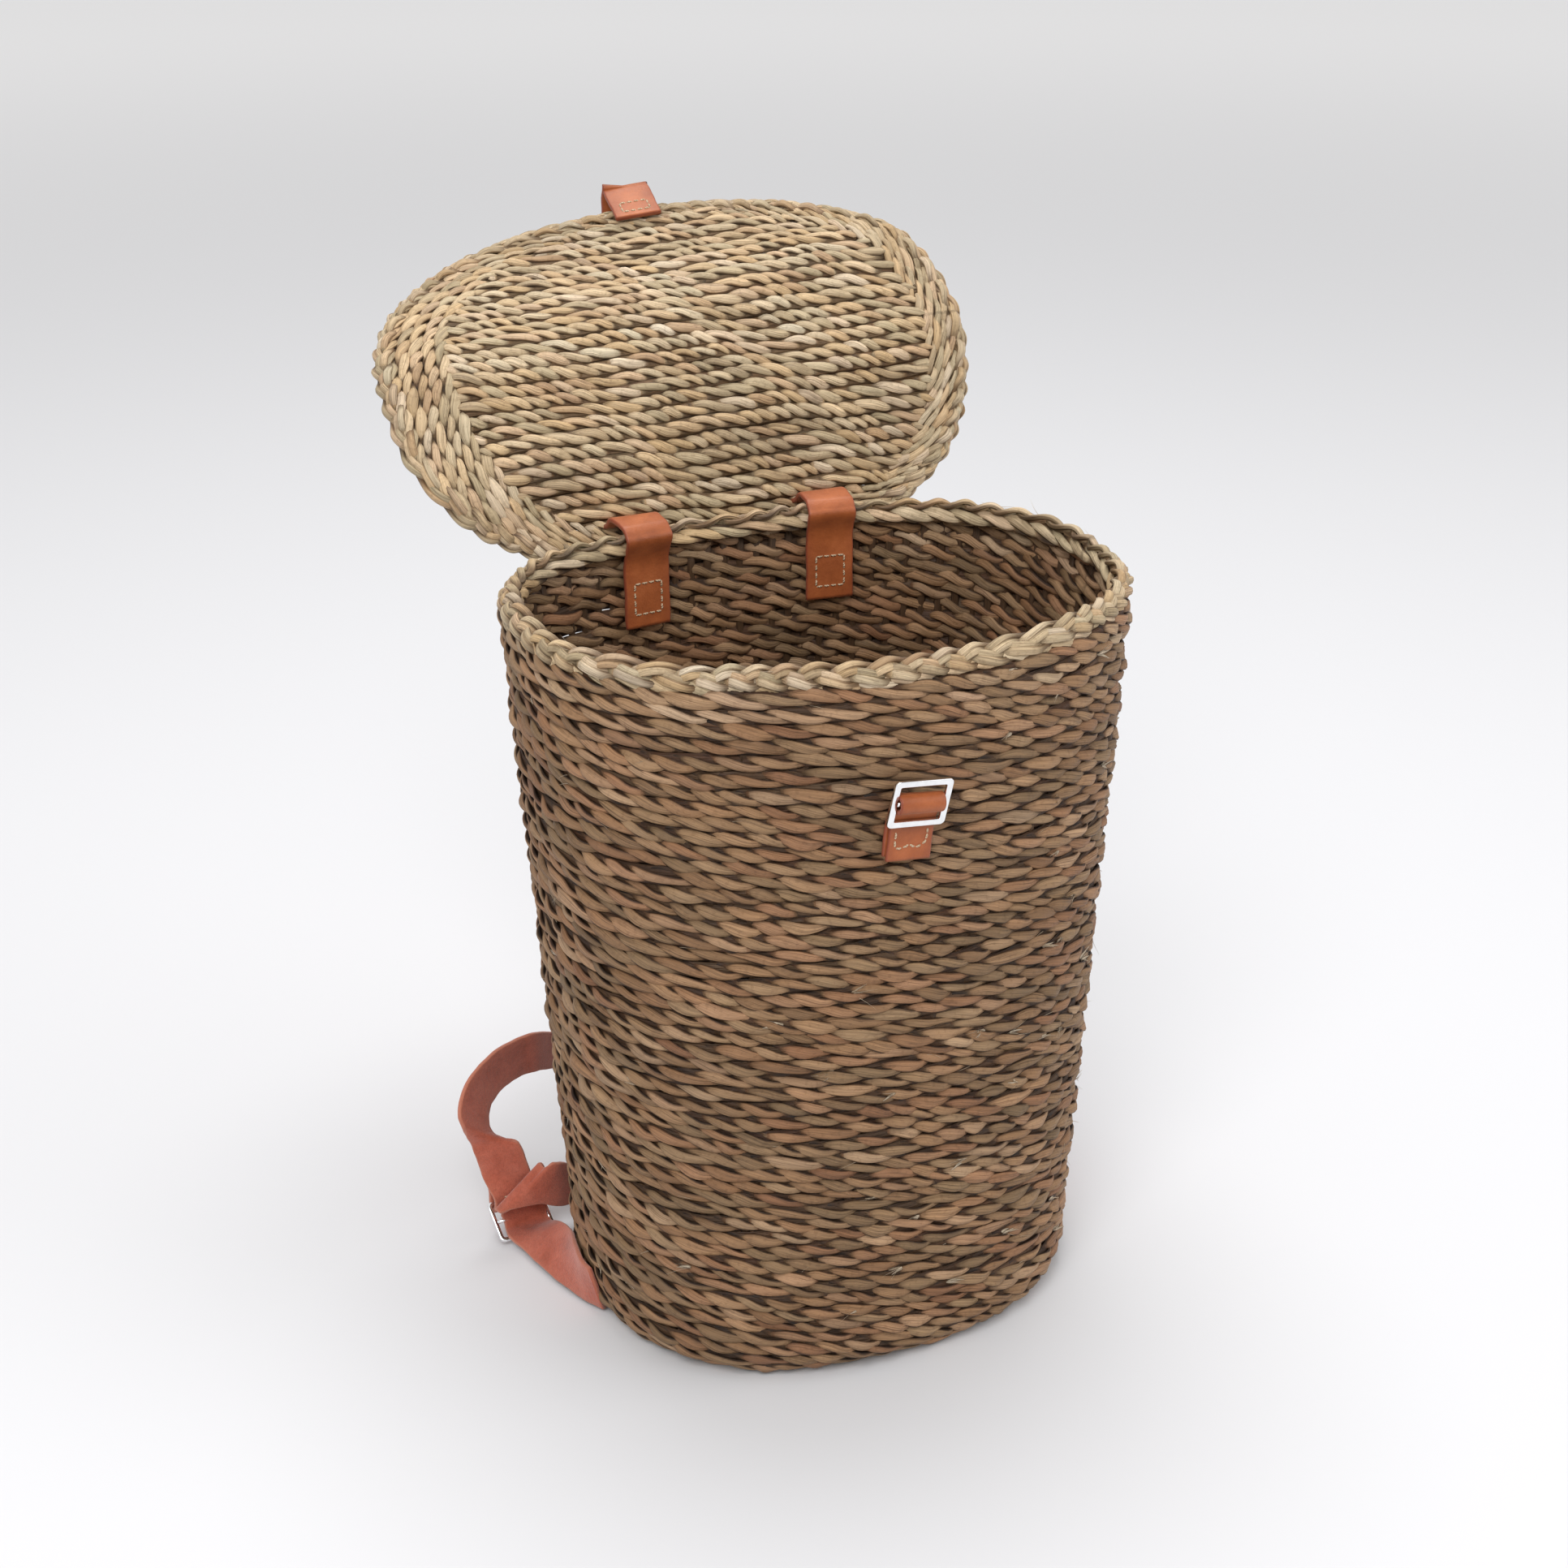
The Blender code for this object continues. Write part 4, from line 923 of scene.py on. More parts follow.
def smoothRoute(stations, steps, stiff=0.0):
    """Rows of centre, direction across and width on a smooth curve through the stations."""
    rows = np.array([np.concatenate([centre, across, [width]]) for centre, across, width in stations])
    last = len(rows) - 1
    smooth = []
    for index in range(last):
        four = rows[np.clip(np.arange(index - 1, index + 3), 0, last)]
        for t in np.arange(steps) / steps:
            weights = (2 * t**2 - t - t**3, 2 - 5 * t**2 + 3 * t**3, t + 4 * t**2 - 3 * t**3, t**3 - t**2)
            smooth.append(mix(np.array(weights) / 2 @ four, mix(four[1], four[2], t), stiff))
    smooth.append(rows[last])
    return np.array(smooth)


def strapSection():
    """Across, through and edge share of a strip's outline, with slightly rounded cut edges."""
    top = [(0.975, 0.88, 1.0), (0.93, 1.0, 0.25), (0.6, 1.0, 0.0), (0.2, 1.0, 0.0)]
    top += [(-u, v, edge) for u, v, edge in top[::-1]]
    bottom = [(-u, -v, edge) for u, v, edge in top]
    return np.array([(1.0, -0.5, 1.0), (1.0, 0.5, 1.0)] + top + [(-1.0, 0.5, 1.0), (-1.0, -0.5, 1.0)] + bottom)


def leatherStrip(name, rows, material, thickness=0.0025, sag=0.0, square=True):
    """One strip along its rows. Its attribute holds the run, the place across and the edge share."""
    section = strapSection()
    centre, across, width = rows[:, :3], rows[:, 3:6], rows[:, 6]
    tangent = unit(np.gradient(centre, axis=0))
    if square:
        across = across - tangent * (across * tangent).sum(1, keepdims=True)
    across = unit(across)
    normal = unit(np.cross(tangent, across))
    run = np.concatenate([[0], np.cumsum(np.linalg.norm(np.diff(centre, axis=0), axis=1))])
    wobble = 1 + 0.010 * np.sin(run * 310 + len(name)) + 0.006 * np.sin(run * 733 + 2 * len(name))
    u, v, edge = section.T
    grid = centre[:, None] + across[:, None] * (u[None] * (width * wobble / 2)[:, None])[..., None]
    crown = sag * (1 - u**2)
    grid = grid + normal[:, None] * (v * thickness / 2 + crown)[None, :, None]
    shape = grid.shape[:2]
    values = np.stack([np.broadcast_to(run[:, None], shape), np.broadcast_to(u * v, shape), np.broadcast_to(edge, shape)], -1)
    strip = Weave()
    strip.add(grid, values, values, False)
    points, faces, values, _ = strip.arrays()
    return meshFrom(name, points, faces, {"strap": values}, material)


class Stitching:
    """Gathers stitches of one seam: each dips into the leather at both ends."""

    def __init__(self):
        self.weave = Weave()

    def run(self, path, out, count=0):
        path, out = np.asarray(path, float), unit(np.asarray(out, float))
        length = np.concatenate([[0], np.cumsum(np.linalg.norm(np.diff(path, axis=0), axis=1))])
        count = count or max(1, round(length[-1] / (strapLook["stitch"] + strapLook["gap"])))
        pitch = length[-1] / count
        radius = strapLook["thread"]
        for index in range(count):
            reach = pitch - strapLook["gap"] + 0.0005 * (dice.random() - 0.5)
            t = np.linspace(0, 1, 9)
            where = (index + 0.5) * pitch + (t - 0.5) * reach
            place = np.stack([np.interp(where, length, path[:, k]) for k in range(3)], -1)
            up = unit(np.stack([np.interp(where, length, out[:, k]) for k in range(3)], -1))
            arch = np.sin(math.pi * t) ** 0.45
            place = place + up * (radius * (1.25 * arch - 0.95))[:, None]
            tangent = unit(np.gradient(place, axis=0))
            side = unit(np.cross(up, tangent))
            skew = 0.00022 * (dice.random() - 0.5)
            place = place + side * (skew * (2 * t - 1))[:, None]
            thin = radius * (0.72 + 0.28 * np.sin(math.pi * t))
            grid, c, s = ringGrid(place, side, np.cross(tangent, side), thin, thin, 8)
            strand = np.stack([np.broadcast_to(where[:, None], grid.shape[:2]), np.broadcast_to(c[None], grid.shape[:2]), np.ones(grid.shape[:2])], -1)
            self.weave.add(grid, strand, strand, False)

    def piece(self, name, replaced):
        points, faces, strand, _ = self.weave.arrays()
        made = meshFrom(name, points, faces, {"strand": strand}, threadCream)
        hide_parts(*replaced)
        return made


def wallY(x, z, side):
    half, powers = wallSizes(z)
    power = powers[1] if side > 0 else powers[0]
    return side * half[1] * (1 - abs(x / half[0]) ** power) ** (1 / power)


def wallTurn(x, z, side):
    return math.atan2(wallY(x + 0.0003, z, side) - wallY(x - 0.0003, z, side), 0.0006)


depthLean = (basket["rimHalf"][1] - basket["footHalf"][1]) / basket["height"]


def turnZ(points, origin, turn):
    return turnAbout(np.asarray(points, float), np.asarray(origin, float), np.array([0.0, 0.0, 1.0]), np.full(len(points), turn))


hingeLook = {
    "x": 0.0515,
    "drop": 0.050,
    "square": (0.015, 0.016),
    "squareDrop": 0.035,
    "slit": 0.093,
    "outside": 0.0195,
    "lidSquare": (0.015, 0.011),
}


def makeHingeStrap(label, side):
    """From the stitched end inside the wall, over the rim, through the lid and along its outer face."""
    x, height, leather = side * hingeLook["x"], basket["height"], strapLook["leather"]
    turn, outer = wallTurn(x, height, 1), wallY(x, height, 1)
    inner = outer - basket["rimRadius"] * depthLean * 2 - basket["wall"] / math.cos(turn)
    offWall = inner - 0.0010 - leather / 2
    rimZ = height - basket["rimRadius"]
    rimY = outer - basket["rimRadius"]
    over = basket["rimRadius"] + 0.0010 + leather / 2

    def onWall(z):
        return [x, offWall - (height - z) * depthLean, z]

    flat = [onWall(height - hingeLook["drop"]), onWall(height - 0.034), onWall(rimZ - 0.010)]
    for degrees in (172, 148, 124, 100):
        angle = math.radians(degrees)
        flat.append([x, rimY + over * math.cos(angle), rimZ + over * math.sin(angle)])
    flat = turnZ(flat, (x, outer, 0.0), turn)
    across = np.array([math.cos(turn), math.sin(turn), 0.0])
    stations = [(place, across, strapLook["width"]) for place in flat]
    slit, top, bottom = hingeLook["slit"], lid["middle"] + 0.0035, lid["middle"] - 0.0045
    lifted = top + 0.0003 + leather / 2
    closed = [[x, slit + out, bottom + up] for out, up in ((-0.0021, -0.0092), (-0.0003, -0.0023), (0.0002, 0.0018))]
    for degrees in (10, 50, 90):
        angle = math.radians(degrees)
        closed.append([x, slit - 0.0028 + 0.0028 * math.cos(angle), lifted - 0.0028 + 0.0028 * math.sin(angle)])
    closed += [[x, slit - 0.012, lifted], [x, slit - hingeLook["outside"], lifted]]
    rest = openHinge(np.array(closed))
    stations += [(place, xAxis, strapLook["width"]) for place in rest]
    strap = leatherStrip("hinge_leather_" + label, smoothRoute(stations, 6), smoothLeather)
    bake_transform(strap)
    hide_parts("hinge_strap_" + label, "hinge_strap_lid_" + label)

    wide, high = (size / 2 for size in hingeLook["square"])
    middle = height - hingeLook["squareDrop"]
    seam = Stitching()
    corners = [(-wide, high), (-wide, -high), (wide, -high), (wide, high), (-wide, high)]
    faceOut = np.array([math.sin(turn), -math.cos(turn), -depthLean])
    for a, b in zip(corners, corners[1:]):
        line = []
        for share in (0.0, 0.25, 0.5, 0.75, 1.0):
            z = middle + mix(a[1], b[1], share)
            place = onWall(z)
            line.append([x + mix(a[0], b[0], share), place[1] - leather / 2, z])
        line = turnZ(line, (x, outer, 0.0), turn)
        seam.run(line, np.tile(faceOut, (5, 1)))
    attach(seam.piece("wall_stitches_" + label, ["hinge_thread_" + label]), "basket")

    wide, high = (size / 2 for size in hingeLook["lidSquare"])
    middle = slit - 0.0115
    seam = Stitching()
    corners = [(-wide, high), (-wide, -high), (wide, -high), (wide, high), (-wide, high)]
    faceOut = openHinge(hingePoint + np.array([[0.0, 0.0, 1.0]]))[0] - hingePoint
    for a, b in zip(corners, corners[1:]):
        line = np.array([[x + mix(a[0], b[0], s), middle + mix(a[1], b[1], s), lifted + leather / 2] for s in (0.0, 0.5, 1.0)])
        seam.run(openHinge(line), np.tile(faceOut, (3, 1)))
    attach(seam.piece("lid_stitches_" + label, ["lid_thread_" + label]), "lid_rear")


makeHingeStrap("left", -1)
makeHingeStrap("right", 1)
print("hinge straps made")


closingLook = {
    "x": 0.0035,
    "inside": 0.014,
    "outside": 0.012,
    "fold": 0.0026,
    "length": 0.105,
    "tip": 0.020,
    "axis": (0.98908, -0.10667, 0.10168),
    "place": (0.008431, 0.274078, 0.508429),
}


def makeClosingStrap():
    """Sewn under the lid's front edge, then folded over and hanging down behind the lid."""
    leather, front = strapLook["leather"], lid["back"] - 0.218
    z = lid["middle"] - 0.0045 - 0.0003 - leather / 2
    x = closingLook["x"]
    closed = np.array([[x, front + y, z] for y in (closingLook["inside"], 0.006, -0.004, -closingLook["outside"] + 0.001)])
    rest = restFront(closed, np.ones(len(closed)))
    ahead = unit(rest[-1] - rest[-2])
    axis = np.array(closingLook["axis"])
    pivot = np.array(closingLook["place"])
    stations = [(place, axis, strapLook["width"]) for place in rest]
    down = np.array([0.0, 0.0, -1.0])
    for share in (0.3, 0.62, 0.9):
        angle = share * math.acos(float(ahead @ down))
        way = unit(ahead * math.cos(angle) + unit(down - ahead * (down @ ahead)) * math.sin(angle))
        stations.append((pivot + unit(np.cross(axis, way)) * -0.0026 * 0.9, axis, strapLook["width"]))
    for drop in (0.006, 0.03, 0.06, 0.085, closingLook["length"] - 0.0063):
        stations.append((pivot + down * (closingLook["fold"] + drop), axis, strapLook["width"]))
    stations.append((pivot + down * (closingLook["fold"] + closingLook["length"] - 0.002), axis, closingLook["tip"] + 0.002))
    stations.append((pivot + down * (closingLook["fold"] + closingLook["length"]), axis, closingLook["tip"]))
    strap = leatherStrip("closing_leather", smoothRoute(stations, 6), smoothLeather)
    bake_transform(strap)
    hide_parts("closing_strap_end", "closing_strap")

    seam = Stitching()
    wide, high, middle = 0.0075, 0.0038, front + 0.0065
    corners = [(-wide, high), (-wide, -high), (wide, -high), (wide, high), (-wide, high)]
    faceOut = restFront(hingePoint + np.array([[0.0, 0.0, -1.0], [0.0, 0.0, 0.0]]), np.ones(2))
    faceOut = faceOut[0] - faceOut[1]
    for a, b in zip(corners, corners[1:]):
        line = np.array([[x + mix(a[0], b[0], s), middle + mix(a[1], b[1], s), z - leather / 2] for s in (0.0, 0.5, 1.0)])
        seam.run(restFront(line, np.ones(3)), np.tile(faceOut, (3, 1)))
    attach(seam.piece("closing_stitches", ["closing_thread"]), "lid_front")


makeClosingStrap()
print("closing strap made")


# ---- metal frames

def roundedOutline(wide, high, radius, count=5):
    points = []
    for quarter, (sx, sy) in enumerate(((1, 1), (-1, 1), (-1, -1), (1, -1))):
        for step in range(count + 1):
            angle = math.pi / 2 * (quarter + step / count)
            points.append((sx * (wide - radius) + radius * math.cos(angle), sy * (high - radius) + radius * math.sin(angle)))
    return np.array(points)


def metalFrame(name, look, matrix):
    """A flat frame with softened edges and a bar across its middle, along its own X."""
    outer = roundedOutline(look["width"] / 2, look["height"] / 2, look["corner"])
    inner = roundedOutline(look["width"] / 2 - look["rail"], look["height"] / 2 - look["rail"], look["corner"] / 3)
    soft = look["soft"]
    edge = [(0.0, 1 - 2.2 * soft), (0.3 * soft, 1 - 0.8 * soft), (soft, 1 - 0.12 * soft), (1.4 * soft, 1.0), (0.5, 1.0)]
    edge += [(1 - u, v) for u, v in edge[-2::-1]]
    section = np.array(edge + [(u, -v) for u, v in edge[::-1]])
    flat = inner[:, None] + (outer - inner)[:, None] * section[None, :, :1]
    height = np.broadcast_to(section[None, :, 1:] * look["thick"] / 2, flat.shape[:2] + (1,))
    grid = np.concatenate([flat, height], -1)[:, ::-1]
    frameWeave = Weave()
    blank = np.zeros(grid.shape)
    frameWeave.add(grid, blank, blank, True)
    reach = look["width"] / 2 - look["rail"] * 0.7
    x = np.linspace(-reach, reach, 7)
    bar = np.column_stack([x, np.zeros(7), np.zeros(7)])
    size = np.full(7, look["bar"] / 2)
    grid, _, _ = ringGrid(bar, np.tile([0.0, 1.0, 0.0], (7, 1)), np.tile([0.0, 0.0, 1.0], (7, 1)), size, size * look["barThick"], 12)
    frameWeave.add(grid, np.zeros(grid.shape), np.zeros(grid.shape), False)
    points, faces, values, _ = frameWeave.arrays()
    turned = np.array(matrix)
    points = points @ turned[:3, :3].T + turned[:3, 3]
    return meshFrom(name, points, faces, {"strand": values}, chrome)


# ---- front buckle and its leather loop

tabLook = {
    "x": -0.0134,
    "z": 0.2811,
    "turn": math.radians(5.8),
    "width": 0.0218,
    "leather": 0.0020,
    "stand": 0.0090,
    "rise": 0.0286,
    "roll": 0.0036,
    "tilt": math.radians(10),
    "seam": (0.0060, 0.0138),
}
buckleLook = {"width": 0.0284, "height": 0.0238, "rail": 0.0029, "bar": 0.0022, "barThick": 0.8, "thick": 0.0018, "corner": 0.0022, "soft": 0.10}


def makeFrontTab():
    """A loop of leather round the buckle's bar, with both ends sewn to the wall."""
    look = tabLook
    wall = wallY(look["x"], look["z"], -1)
    turned = Matrix.Rotation(look["turn"], 4, "Y") @ Matrix.Rotation(math.atan(depthLean), 4, "X")
    placed = Matrix.Translation((look["x"], wall, look["z"])) @ turned
    toWorld = np.array(placed)

    def world(points):
        return np.asarray(points, float) @ toWorld[:3, :3].T + toWorld[:3, 3]

    back, front = -0.0020, -0.0043
    shape = [(back, 0.0012), (back, 0.0080), (back, 0.0140), (-0.0030, 0.0205), (-0.0045, 0.0262)]
    for degrees in range(50, 251, 20):
        angle = math.radians(degrees)
        shape.append((-look["stand"] + look["roll"] * math.cos(angle), look["rise"] + look["roll"] * math.sin(angle)))
    shape += [(-0.0072, 0.0242), (-0.0049, 0.0195), (front, 0.0140), (front, 0.0070), (front, -0.0004)]
    stations = []
    for index, (out, up) in enumerate(shape):
        onRoll = 5 <= index <= 15
        shift = -0.0010 if index < 5 else 0.0
        stations.append((np.array([shift, out, up]), xAxis, look["width"] + (0.0003 if onRoll else 0.0)))
    rows = smoothRoute(stations, 4)
    strip = leatherStrip("front_tab_leather", np.column_stack([world(rows[:, :3]), rows[:, 3:6] @ toWorld[:3, :3].T, rows[:, 6]]), smoothLeather, look["leather"])
    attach(strip, "basket")
    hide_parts("front_tab")

    low, high = look["seam"]
    lift = front - look["leather"] / 2
    lines = [
        [(-0.0078, high), (-0.0079, 0.0105), (-0.0077, low)],
        [(-0.0074, low - 0.0002), (-0.0050, low - 0.0003), (-0.0026, low + 0.0003), (-0.0006, low + 0.0013)],
        [(-0.0004, low + 0.0013), (0.0012, low + 0.0002), (0.0034, low - 0.0001), (0.0056, low + 0.0006)],
        [(0.0058, low + 0.0008), (0.0074, low + 0.0024), (0.0077, 0.0112), (0.0076, high + 0.0010)],
    ]
    seam = Stitching()
    for line, count in zip(lines, (2, 2, 2, 3)):
        places = world([(x, lift, z) for x, z in line])
        seam.run(places, np.tile(toWorld[:3, :3] @ np.array([0.0, -1.0, 0.0]), (len(line), 1)), count)
    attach(seam.piece("front_tab_stitches", ["front_thread"]), "basket")

    pose = placed @ Matrix.Translation((0.0, -look["stand"], look["rise"])) @ Matrix.Rotation(math.pi / 2 + look["tilt"], 4, "X")
    buckle = metalFrame("front_buckle_frame", buckleLook, pose)
    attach(buckle, "front_buckle")
    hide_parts("front_buckle")


makeFrontTab()
print("front buckle made")


# ---- shoulder straps

carryLook = {
    "leather": 0.0025,
    "width": 0.025,
    "upper": [
        ((-0.1563, 0.0888, 0.0344), (-0.1312, 0.0794, 0.0317)),
        ((-0.1592, 0.0892, 0.0466), (-0.1344, 0.0800, 0.0439)),
        ((-0.1614, 0.0899, 0.0552), (-0.1374, 0.0814, 0.0534)),
        ((-0.1661, 0.0835, 0.0680), (-0.1469, 0.0905, 0.0547)),
        ((-0.1677, 0.0847, 0.0744), (-0.1497, 0.0933, 0.0593)),
        ((-0.1657, 0.0893, 0.0807), (-0.1487, 0.0967, 0.0639)),
        ((-0.1599, 0.0948, 0.0876), (-0.1457, 0.1012, 0.0680)),
        ((-0.1497, 0.1024, 0.0923), (-0.1387, 0.1076, 0.0705)),
        ((-0.1377, 0.1101, 0.0946), (-0.1299, 0.1139, 0.0712)),
        ((-0.1247, 0.1175, 0.0939), (-0.1200, 0.1205, 0.0696)),
        ((-0.1110, 0.1241, 0.0914), (-0.1105, 0.1259, 0.0665)),
        ((-0.0903, 0.1462, 0.0758), (-0.0903, 0.1499, 0.0511)),
        ((-0.0720, 0.1548, 0.0763), (-0.0720, 0.1573, 0.0515)),
        ((-0.0635, 0.1560, 0.0940), (-0.0485, 0.1560, 0.0740)),
        ((-0.0562, 0.1470, 0.1246), (-0.0317, 0.1470, 0.1196)),
        ((-0.0505, 0.1340, 0.1800), (-0.0255, 0.1340, 0.1800)),
        ((-0.0485, 0.1240, 0.2349), (-0.0235, 0.1240, 0.2349)),
        ((-0.0485, 0.12015, 0.2559), (-0.0235, 0.12015, 0.2559)),
    ],
    "lower": [
        ((-0.1239, -0.0074, 0.0022), (-0.1300, -0.0040, 0.0262)),
        ((-0.1292, 0.0021, 0.0022), (-0.1312, 0.0060, 0.0267)),
        ((-0.1347, 0.0160, 0.0025), (-0.1285, 0.0220, 0.0260)),
        ((-0.1404, 0.0341, 0.0030), (-0.1243, 0.0400, 0.0212)),
        ((-0.1454, 0.0549, 0.0040), (-0.1242, 0.0560, 0.0155)),
        ((-0.1495, 0.0676, 0.0058), (-0.1250, 0.0690, 0.0080)),
        ((-0.1493, 0.0745, 0.0062), (-0.1247, 0.0755, 0.0092)),
        ((-0.1494, 0.0765, 0.0110), (-0.1249, 0.0775, 0.0170)),
        ((-0.1504, 0.0760, 0.0161), (-0.1258, 0.0760, 0.0389)),
        ((-0.1540, 0.0738, 0.0196), (-0.1278, 0.0748, 0.0418)),
        ((-0.1527, 0.0694, 0.0206), (-0.1265, 0.0720, 0.0400)),
        ((-0.1464, 0.0685, 0.0221), (-0.1250, 0.0700, 0.0426)),
        ((-0.1393, 0.0683, 0.0223), (-0.1230, 0.0697, 0.0437)),
        ((-0.1305, 0.0691, 0.0207), (-0.1201, 0.0699, 0.0432)),
        ((-0.1218, 0.0710, 0.0158), (-0.1162, 0.0725, 0.0406)),
        ((-0.1133, 0.0750, 0.0120), (-0.1122, 0.0760, 0.0370)),
        ((-0.1050, 0.0800, 0.0100), (-0.1040, 0.0810, 0.0350)),
    ],
    "slide": ((-0.13965, 0.07695, 0.01139), (0.997, 0.068, 0.048), (-0.082, 0.776, 0.625)),
    "foldUp": (-0.17, -0.02, 0.985),
    "tabX": 0.036,
    "tabTop": 0.322,
    "tabLength": 0.031,
}
slideLook = {"width": 0.0310, "height": 0.0230, "rail": 0.0024, "bar": 0.0024, "barThick": 1.0, "thick": 0.0024, "corner": 0.0032, "soft": 0.26}


def squareTo(vector, across):
    return unit(vector - across * (vector @ across))


def makeCarryStrap(label, side):
    """One shoulder strap: the upper leather round the slide, the lower leather and its tail."""
    flip = np.array([side, 1.0, 1.0])
    look, width, leather = carryLook, carryLook["width"], carryLook["leather"]

    def stationsOf(edges):
        rows = []
        for left, right in edges:
            left, right = np.array(left) * flip, np.array(right) * flip
            rows.append(((left + right) / 2, unit(right - left), np.linalg.norm(right - left)))
        return rows

    middle, across, along = (np.array(item) for item in look["slide"])
    middle, across = middle * flip, unit(across * flip)
    along = squareTo(along * flip, across)
    bar = middle + along * (slideLook["height"] - slideLook["rail"]) / 2
    up = squareTo(np.array(look["foldUp"]) * flip, across)
    out = np.cross(across, up) * side
    layer = 0.00355
    fold = [(bar + up * 0.010 - out * layer, across, width), (bar + up * 0.005 - out * layer, across, width)]
    for degrees in range(0, 181, 30):
        angle = math.radians(degrees)
        fold.append((bar - out * layer * math.cos(angle) - up * layer * math.sin(angle), across, width))
    fold.append((bar + up * 0.006 + out * layer, across, width))
    x = -side * look["tabX"]
    turn = wallTurn(x, look["tabTop"], 1)
    sewn = look["tabTop"] - look["tabLength"]
    flat = np.array([math.cos(turn), math.sin(turn), 0.0])
    tab = []
    for z in (0.274, sewn, sewn + 0.010, sewn + 0.021, look["tabTop"]):
        place = np.array([x, wallY(x, z, 1) + 0.00065 + leather / 2, z])
        tab.append((place, flat if z > 0.28 else xAxis, width))
    rows = smoothRoute(fold + stationsOf(look["upper"]) + tab, 6, 0.35)
    upper = leatherStrip("carry_upper_" + label, rows, suedeLeather, leather, square=False)
    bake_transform(upper)
    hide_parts("shoulder_strap_upper_" + label, "shoulder_top_tab_" + label)

    rows = smoothRoute(stationsOf(look["lower"]), 6, 0.35)
    lower = leatherStrip("carry_lower_" + label, rows, suedeLeather, leather, square=False)
    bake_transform(lower)
    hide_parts("shoulder_strap_lower_" + label, "shoulder_base_tab_" + label)

    pose = Matrix.Identity(4)
    for column, vector in enumerate((across, along, np.cross(across, along), middle)):
        for row in range(3):
            pose[row][column] = vector[row]
    slide = metalFrame("carry_slide_" + label, slideLook, pose)
    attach(slide, "strap_" + label)
    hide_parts("shoulder_slide_" + label)

    seam = Stitching()
    lift = bar + up * 0.0055 + out * (layer + leather / 2)
    seam.run([lift - across * 0.0075, lift, lift + across * 0.0075], np.tile(out, (3, 1)), 4)
    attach(seam.piece("fold_stitches_" + label, ["fold_thread_" + label]), "strap_" + label)

    seam = Stitching()
    z = look["tabTop"] - look["tabLength"] / 2
    corners = [(-0.0075, 0.008), (-0.0075, -0.008), (0.0075, -0.008), (0.0075, 0.008), (-0.0075, 0.008)]
    face = np.array([-math.sin(turn), math.cos(turn), -depthLean])
    for a, b in zip(corners, corners[1:]):
        line = []
        for share in (0.0, 0.5, 1.0):
            high = z + mix(a[1], b[1], share)
            place = np.array([x, wallY(x, high, 1) + 0.00065 + leather, high])
            line.append(place + flat * mix(a[0], b[0], share))
        seam.run(line, np.tile(face, (3, 1)))
    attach(seam.piece("top_stitches_" + label, ["top_thread_" + label]), "basket")


makeCarryStrap("left", 1)
makeCarryStrap("right", -1)
print("shoulder straps made")


# ---- room, light and camera

cameraLook = {
    "place": (-0.4624, -0.9734, 0.7474),
    "azimuth": math.radians(-24.4),
    "elevation": math.radians(24.0),
    "lens": 55.9,
}


def makeCamera():
    data = bpy.data.cameras.new("photo_camera")
    data.sensor_width, data.lens = 36.0, cameraLook["lens"]
    data.clip_start, data.clip_end = 0.05, 50.0
    obj = bpy.data.objects.new("photo_camera", data)
    bpy.context.scene.collection.objects.link(obj)
    a, e = cameraLook["azimuth"], cameraLook["elevation"]
    back = Vector((math.sin(a) * math.cos(e), -math.cos(a) * math.cos(e), math.sin(e)))
    obj.location = cameraLook["place"]
    obj.rotation_mode = "QUATERNION"
    obj.rotation_quaternion = (-back).to_track_quat("-Z", "Y")
    bpy.context.scene.camera = obj


def addLamp(name, place, target, size, power, colour=(1.0, 1.0, 1.0)):
    data = bpy.data.lights.new(name, "AREA")
    data.shape, data.size, data.energy, data.color = "DISK", size, power, colour
    obj = bpy.data.objects.new(name, data)
    bpy.context.scene.collection.objects.link(obj)
    obj.location = place
    obj.rotation_mode = "QUATERNION"
    obj.rotation_quaternion = (Vector(target) - Vector(place)).to_track_quat("-Z", "Y")


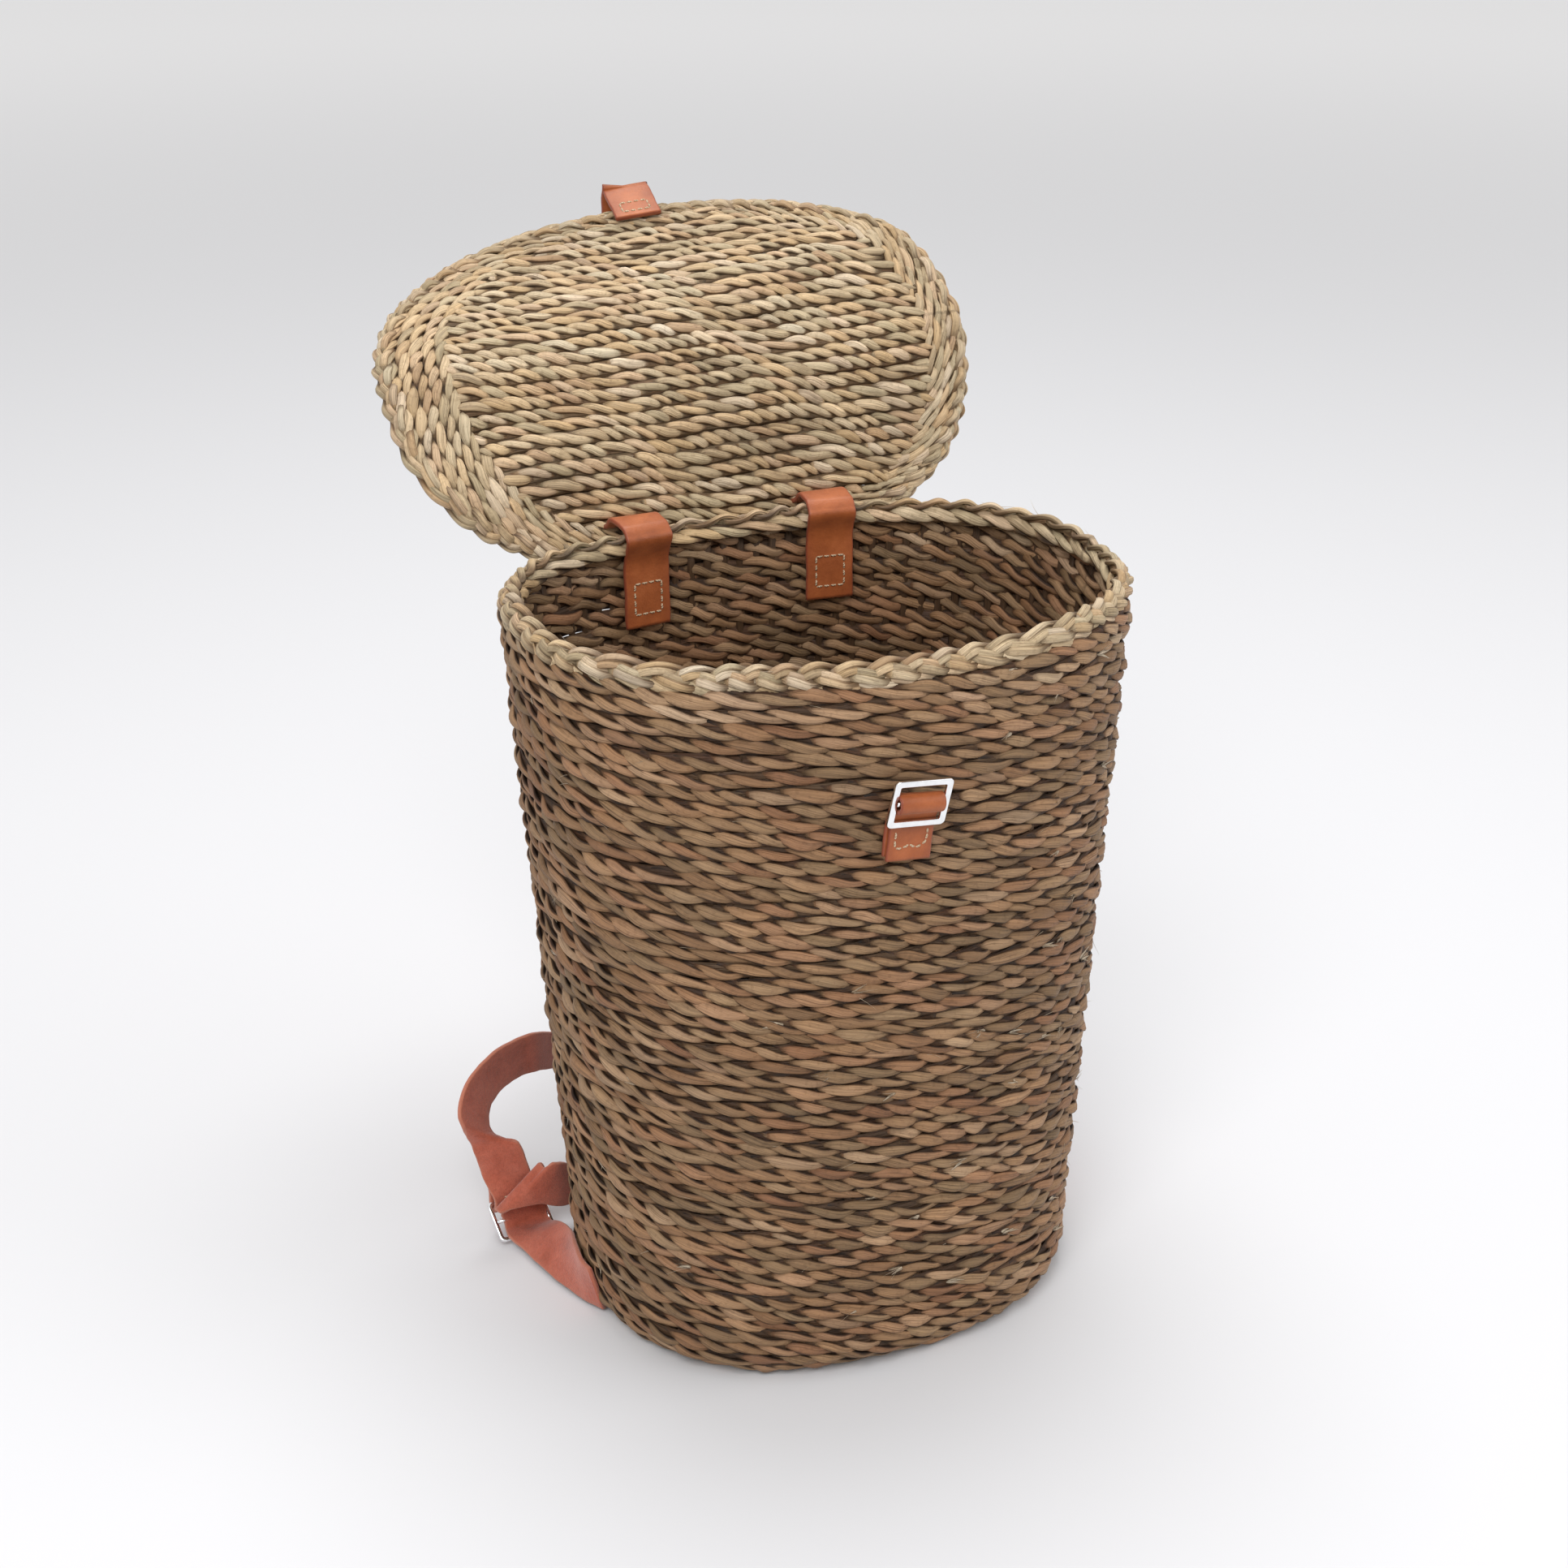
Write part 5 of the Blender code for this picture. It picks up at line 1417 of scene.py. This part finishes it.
def makeRoom():
    bm = bmesh.new()
    for x, y in ((-16, -16), (16, -16), (16, 16), (-16, 16)):
        bm.verts.new((x, y, 0.0))
    bm.faces.new(bm.verts)
    data = bpy.data.meshes.new("pale_floor")
    bm.to_mesh(data)
    bm.free()
    floor = bpy.data.objects.new("pale_floor", data)
    bpy.context.scene.collection.objects.link(floor)
    made, tree, shader = newMaterial("pale_floor")
    shader.inputs["Base Color"].default_value = (0.700, 0.700, 0.718, 1.0)
    shader.inputs["Roughness"].default_value = 0.85
    shader.inputs["Specular IOR Level"].default_value = 0.1
    away = addNode(tree, "VectorMath", {0: addNode(tree, "TexCoord").outputs["Object"]}, operation="LENGTH").outputs["Value"]
    reach = addNode(tree, "MapRange", {"Value": away, "From Min": 1.0, "From Max": 5.5, "To Min": 0.0, "To Max": 0.28}, interpolation_type="SMOOTHSTEP")
    glow = calc(tree, "MULTIPLY", reach.outputs["Result"], addNode(tree, "LightPath").outputs["Is Camera Ray"])
    shader.inputs["Emission Color"].default_value = (1.0, 0.99, 0.975, 1.0)
    tree.links.new(glow, shader.inputs["Emission Strength"])
    data.materials.append(made)

    world = bpy.data.worlds.new("studio")
    bpy.context.scene.world = world
    world.use_nodes = True
    tree = world.node_tree
    light = tree.nodes["Background"]
    light.inputs["Color"].default_value = (1.0, 0.995, 0.985, 1.0)
    light.inputs["Strength"].default_value = 0.62
    seen = addNode(tree, "Background", {"Color": (0.82, 0.82, 0.82, 1.0), "Strength": 1.0})
    path = addNode(tree, "LightPath")
    shown = calc(tree, "MAXIMUM", path.outputs["Is Camera Ray"], calc(tree, "MAXIMUM", path.outputs["Is Glossy Ray"], path.outputs["Is Transmission Ray"]))
    both = addNode(tree, "MixShader", {0: shown, 1: light.outputs[0], 2: seen.outputs[0]})
    tree.links.new(both.outputs[0], tree.nodes["World Output"].inputs["Surface"])
    addLamp("key", (-1.2, -1.6, 2.2), (0, 0, 0.2), 1.6, 42.0)
    addLamp("fill", (1.9, -1.2, 1.4), (0, 0, 0.2), 1.8, 16.0)
    addLamp("above", (0.2, 0.7, 2.4), (0, 0.1, 0.3), 1.5, 28.0)
    bpy.context.scene.view_settings.view_transform = "Standard"


makeRoom()
makeCamera()
print("room, light and camera made")
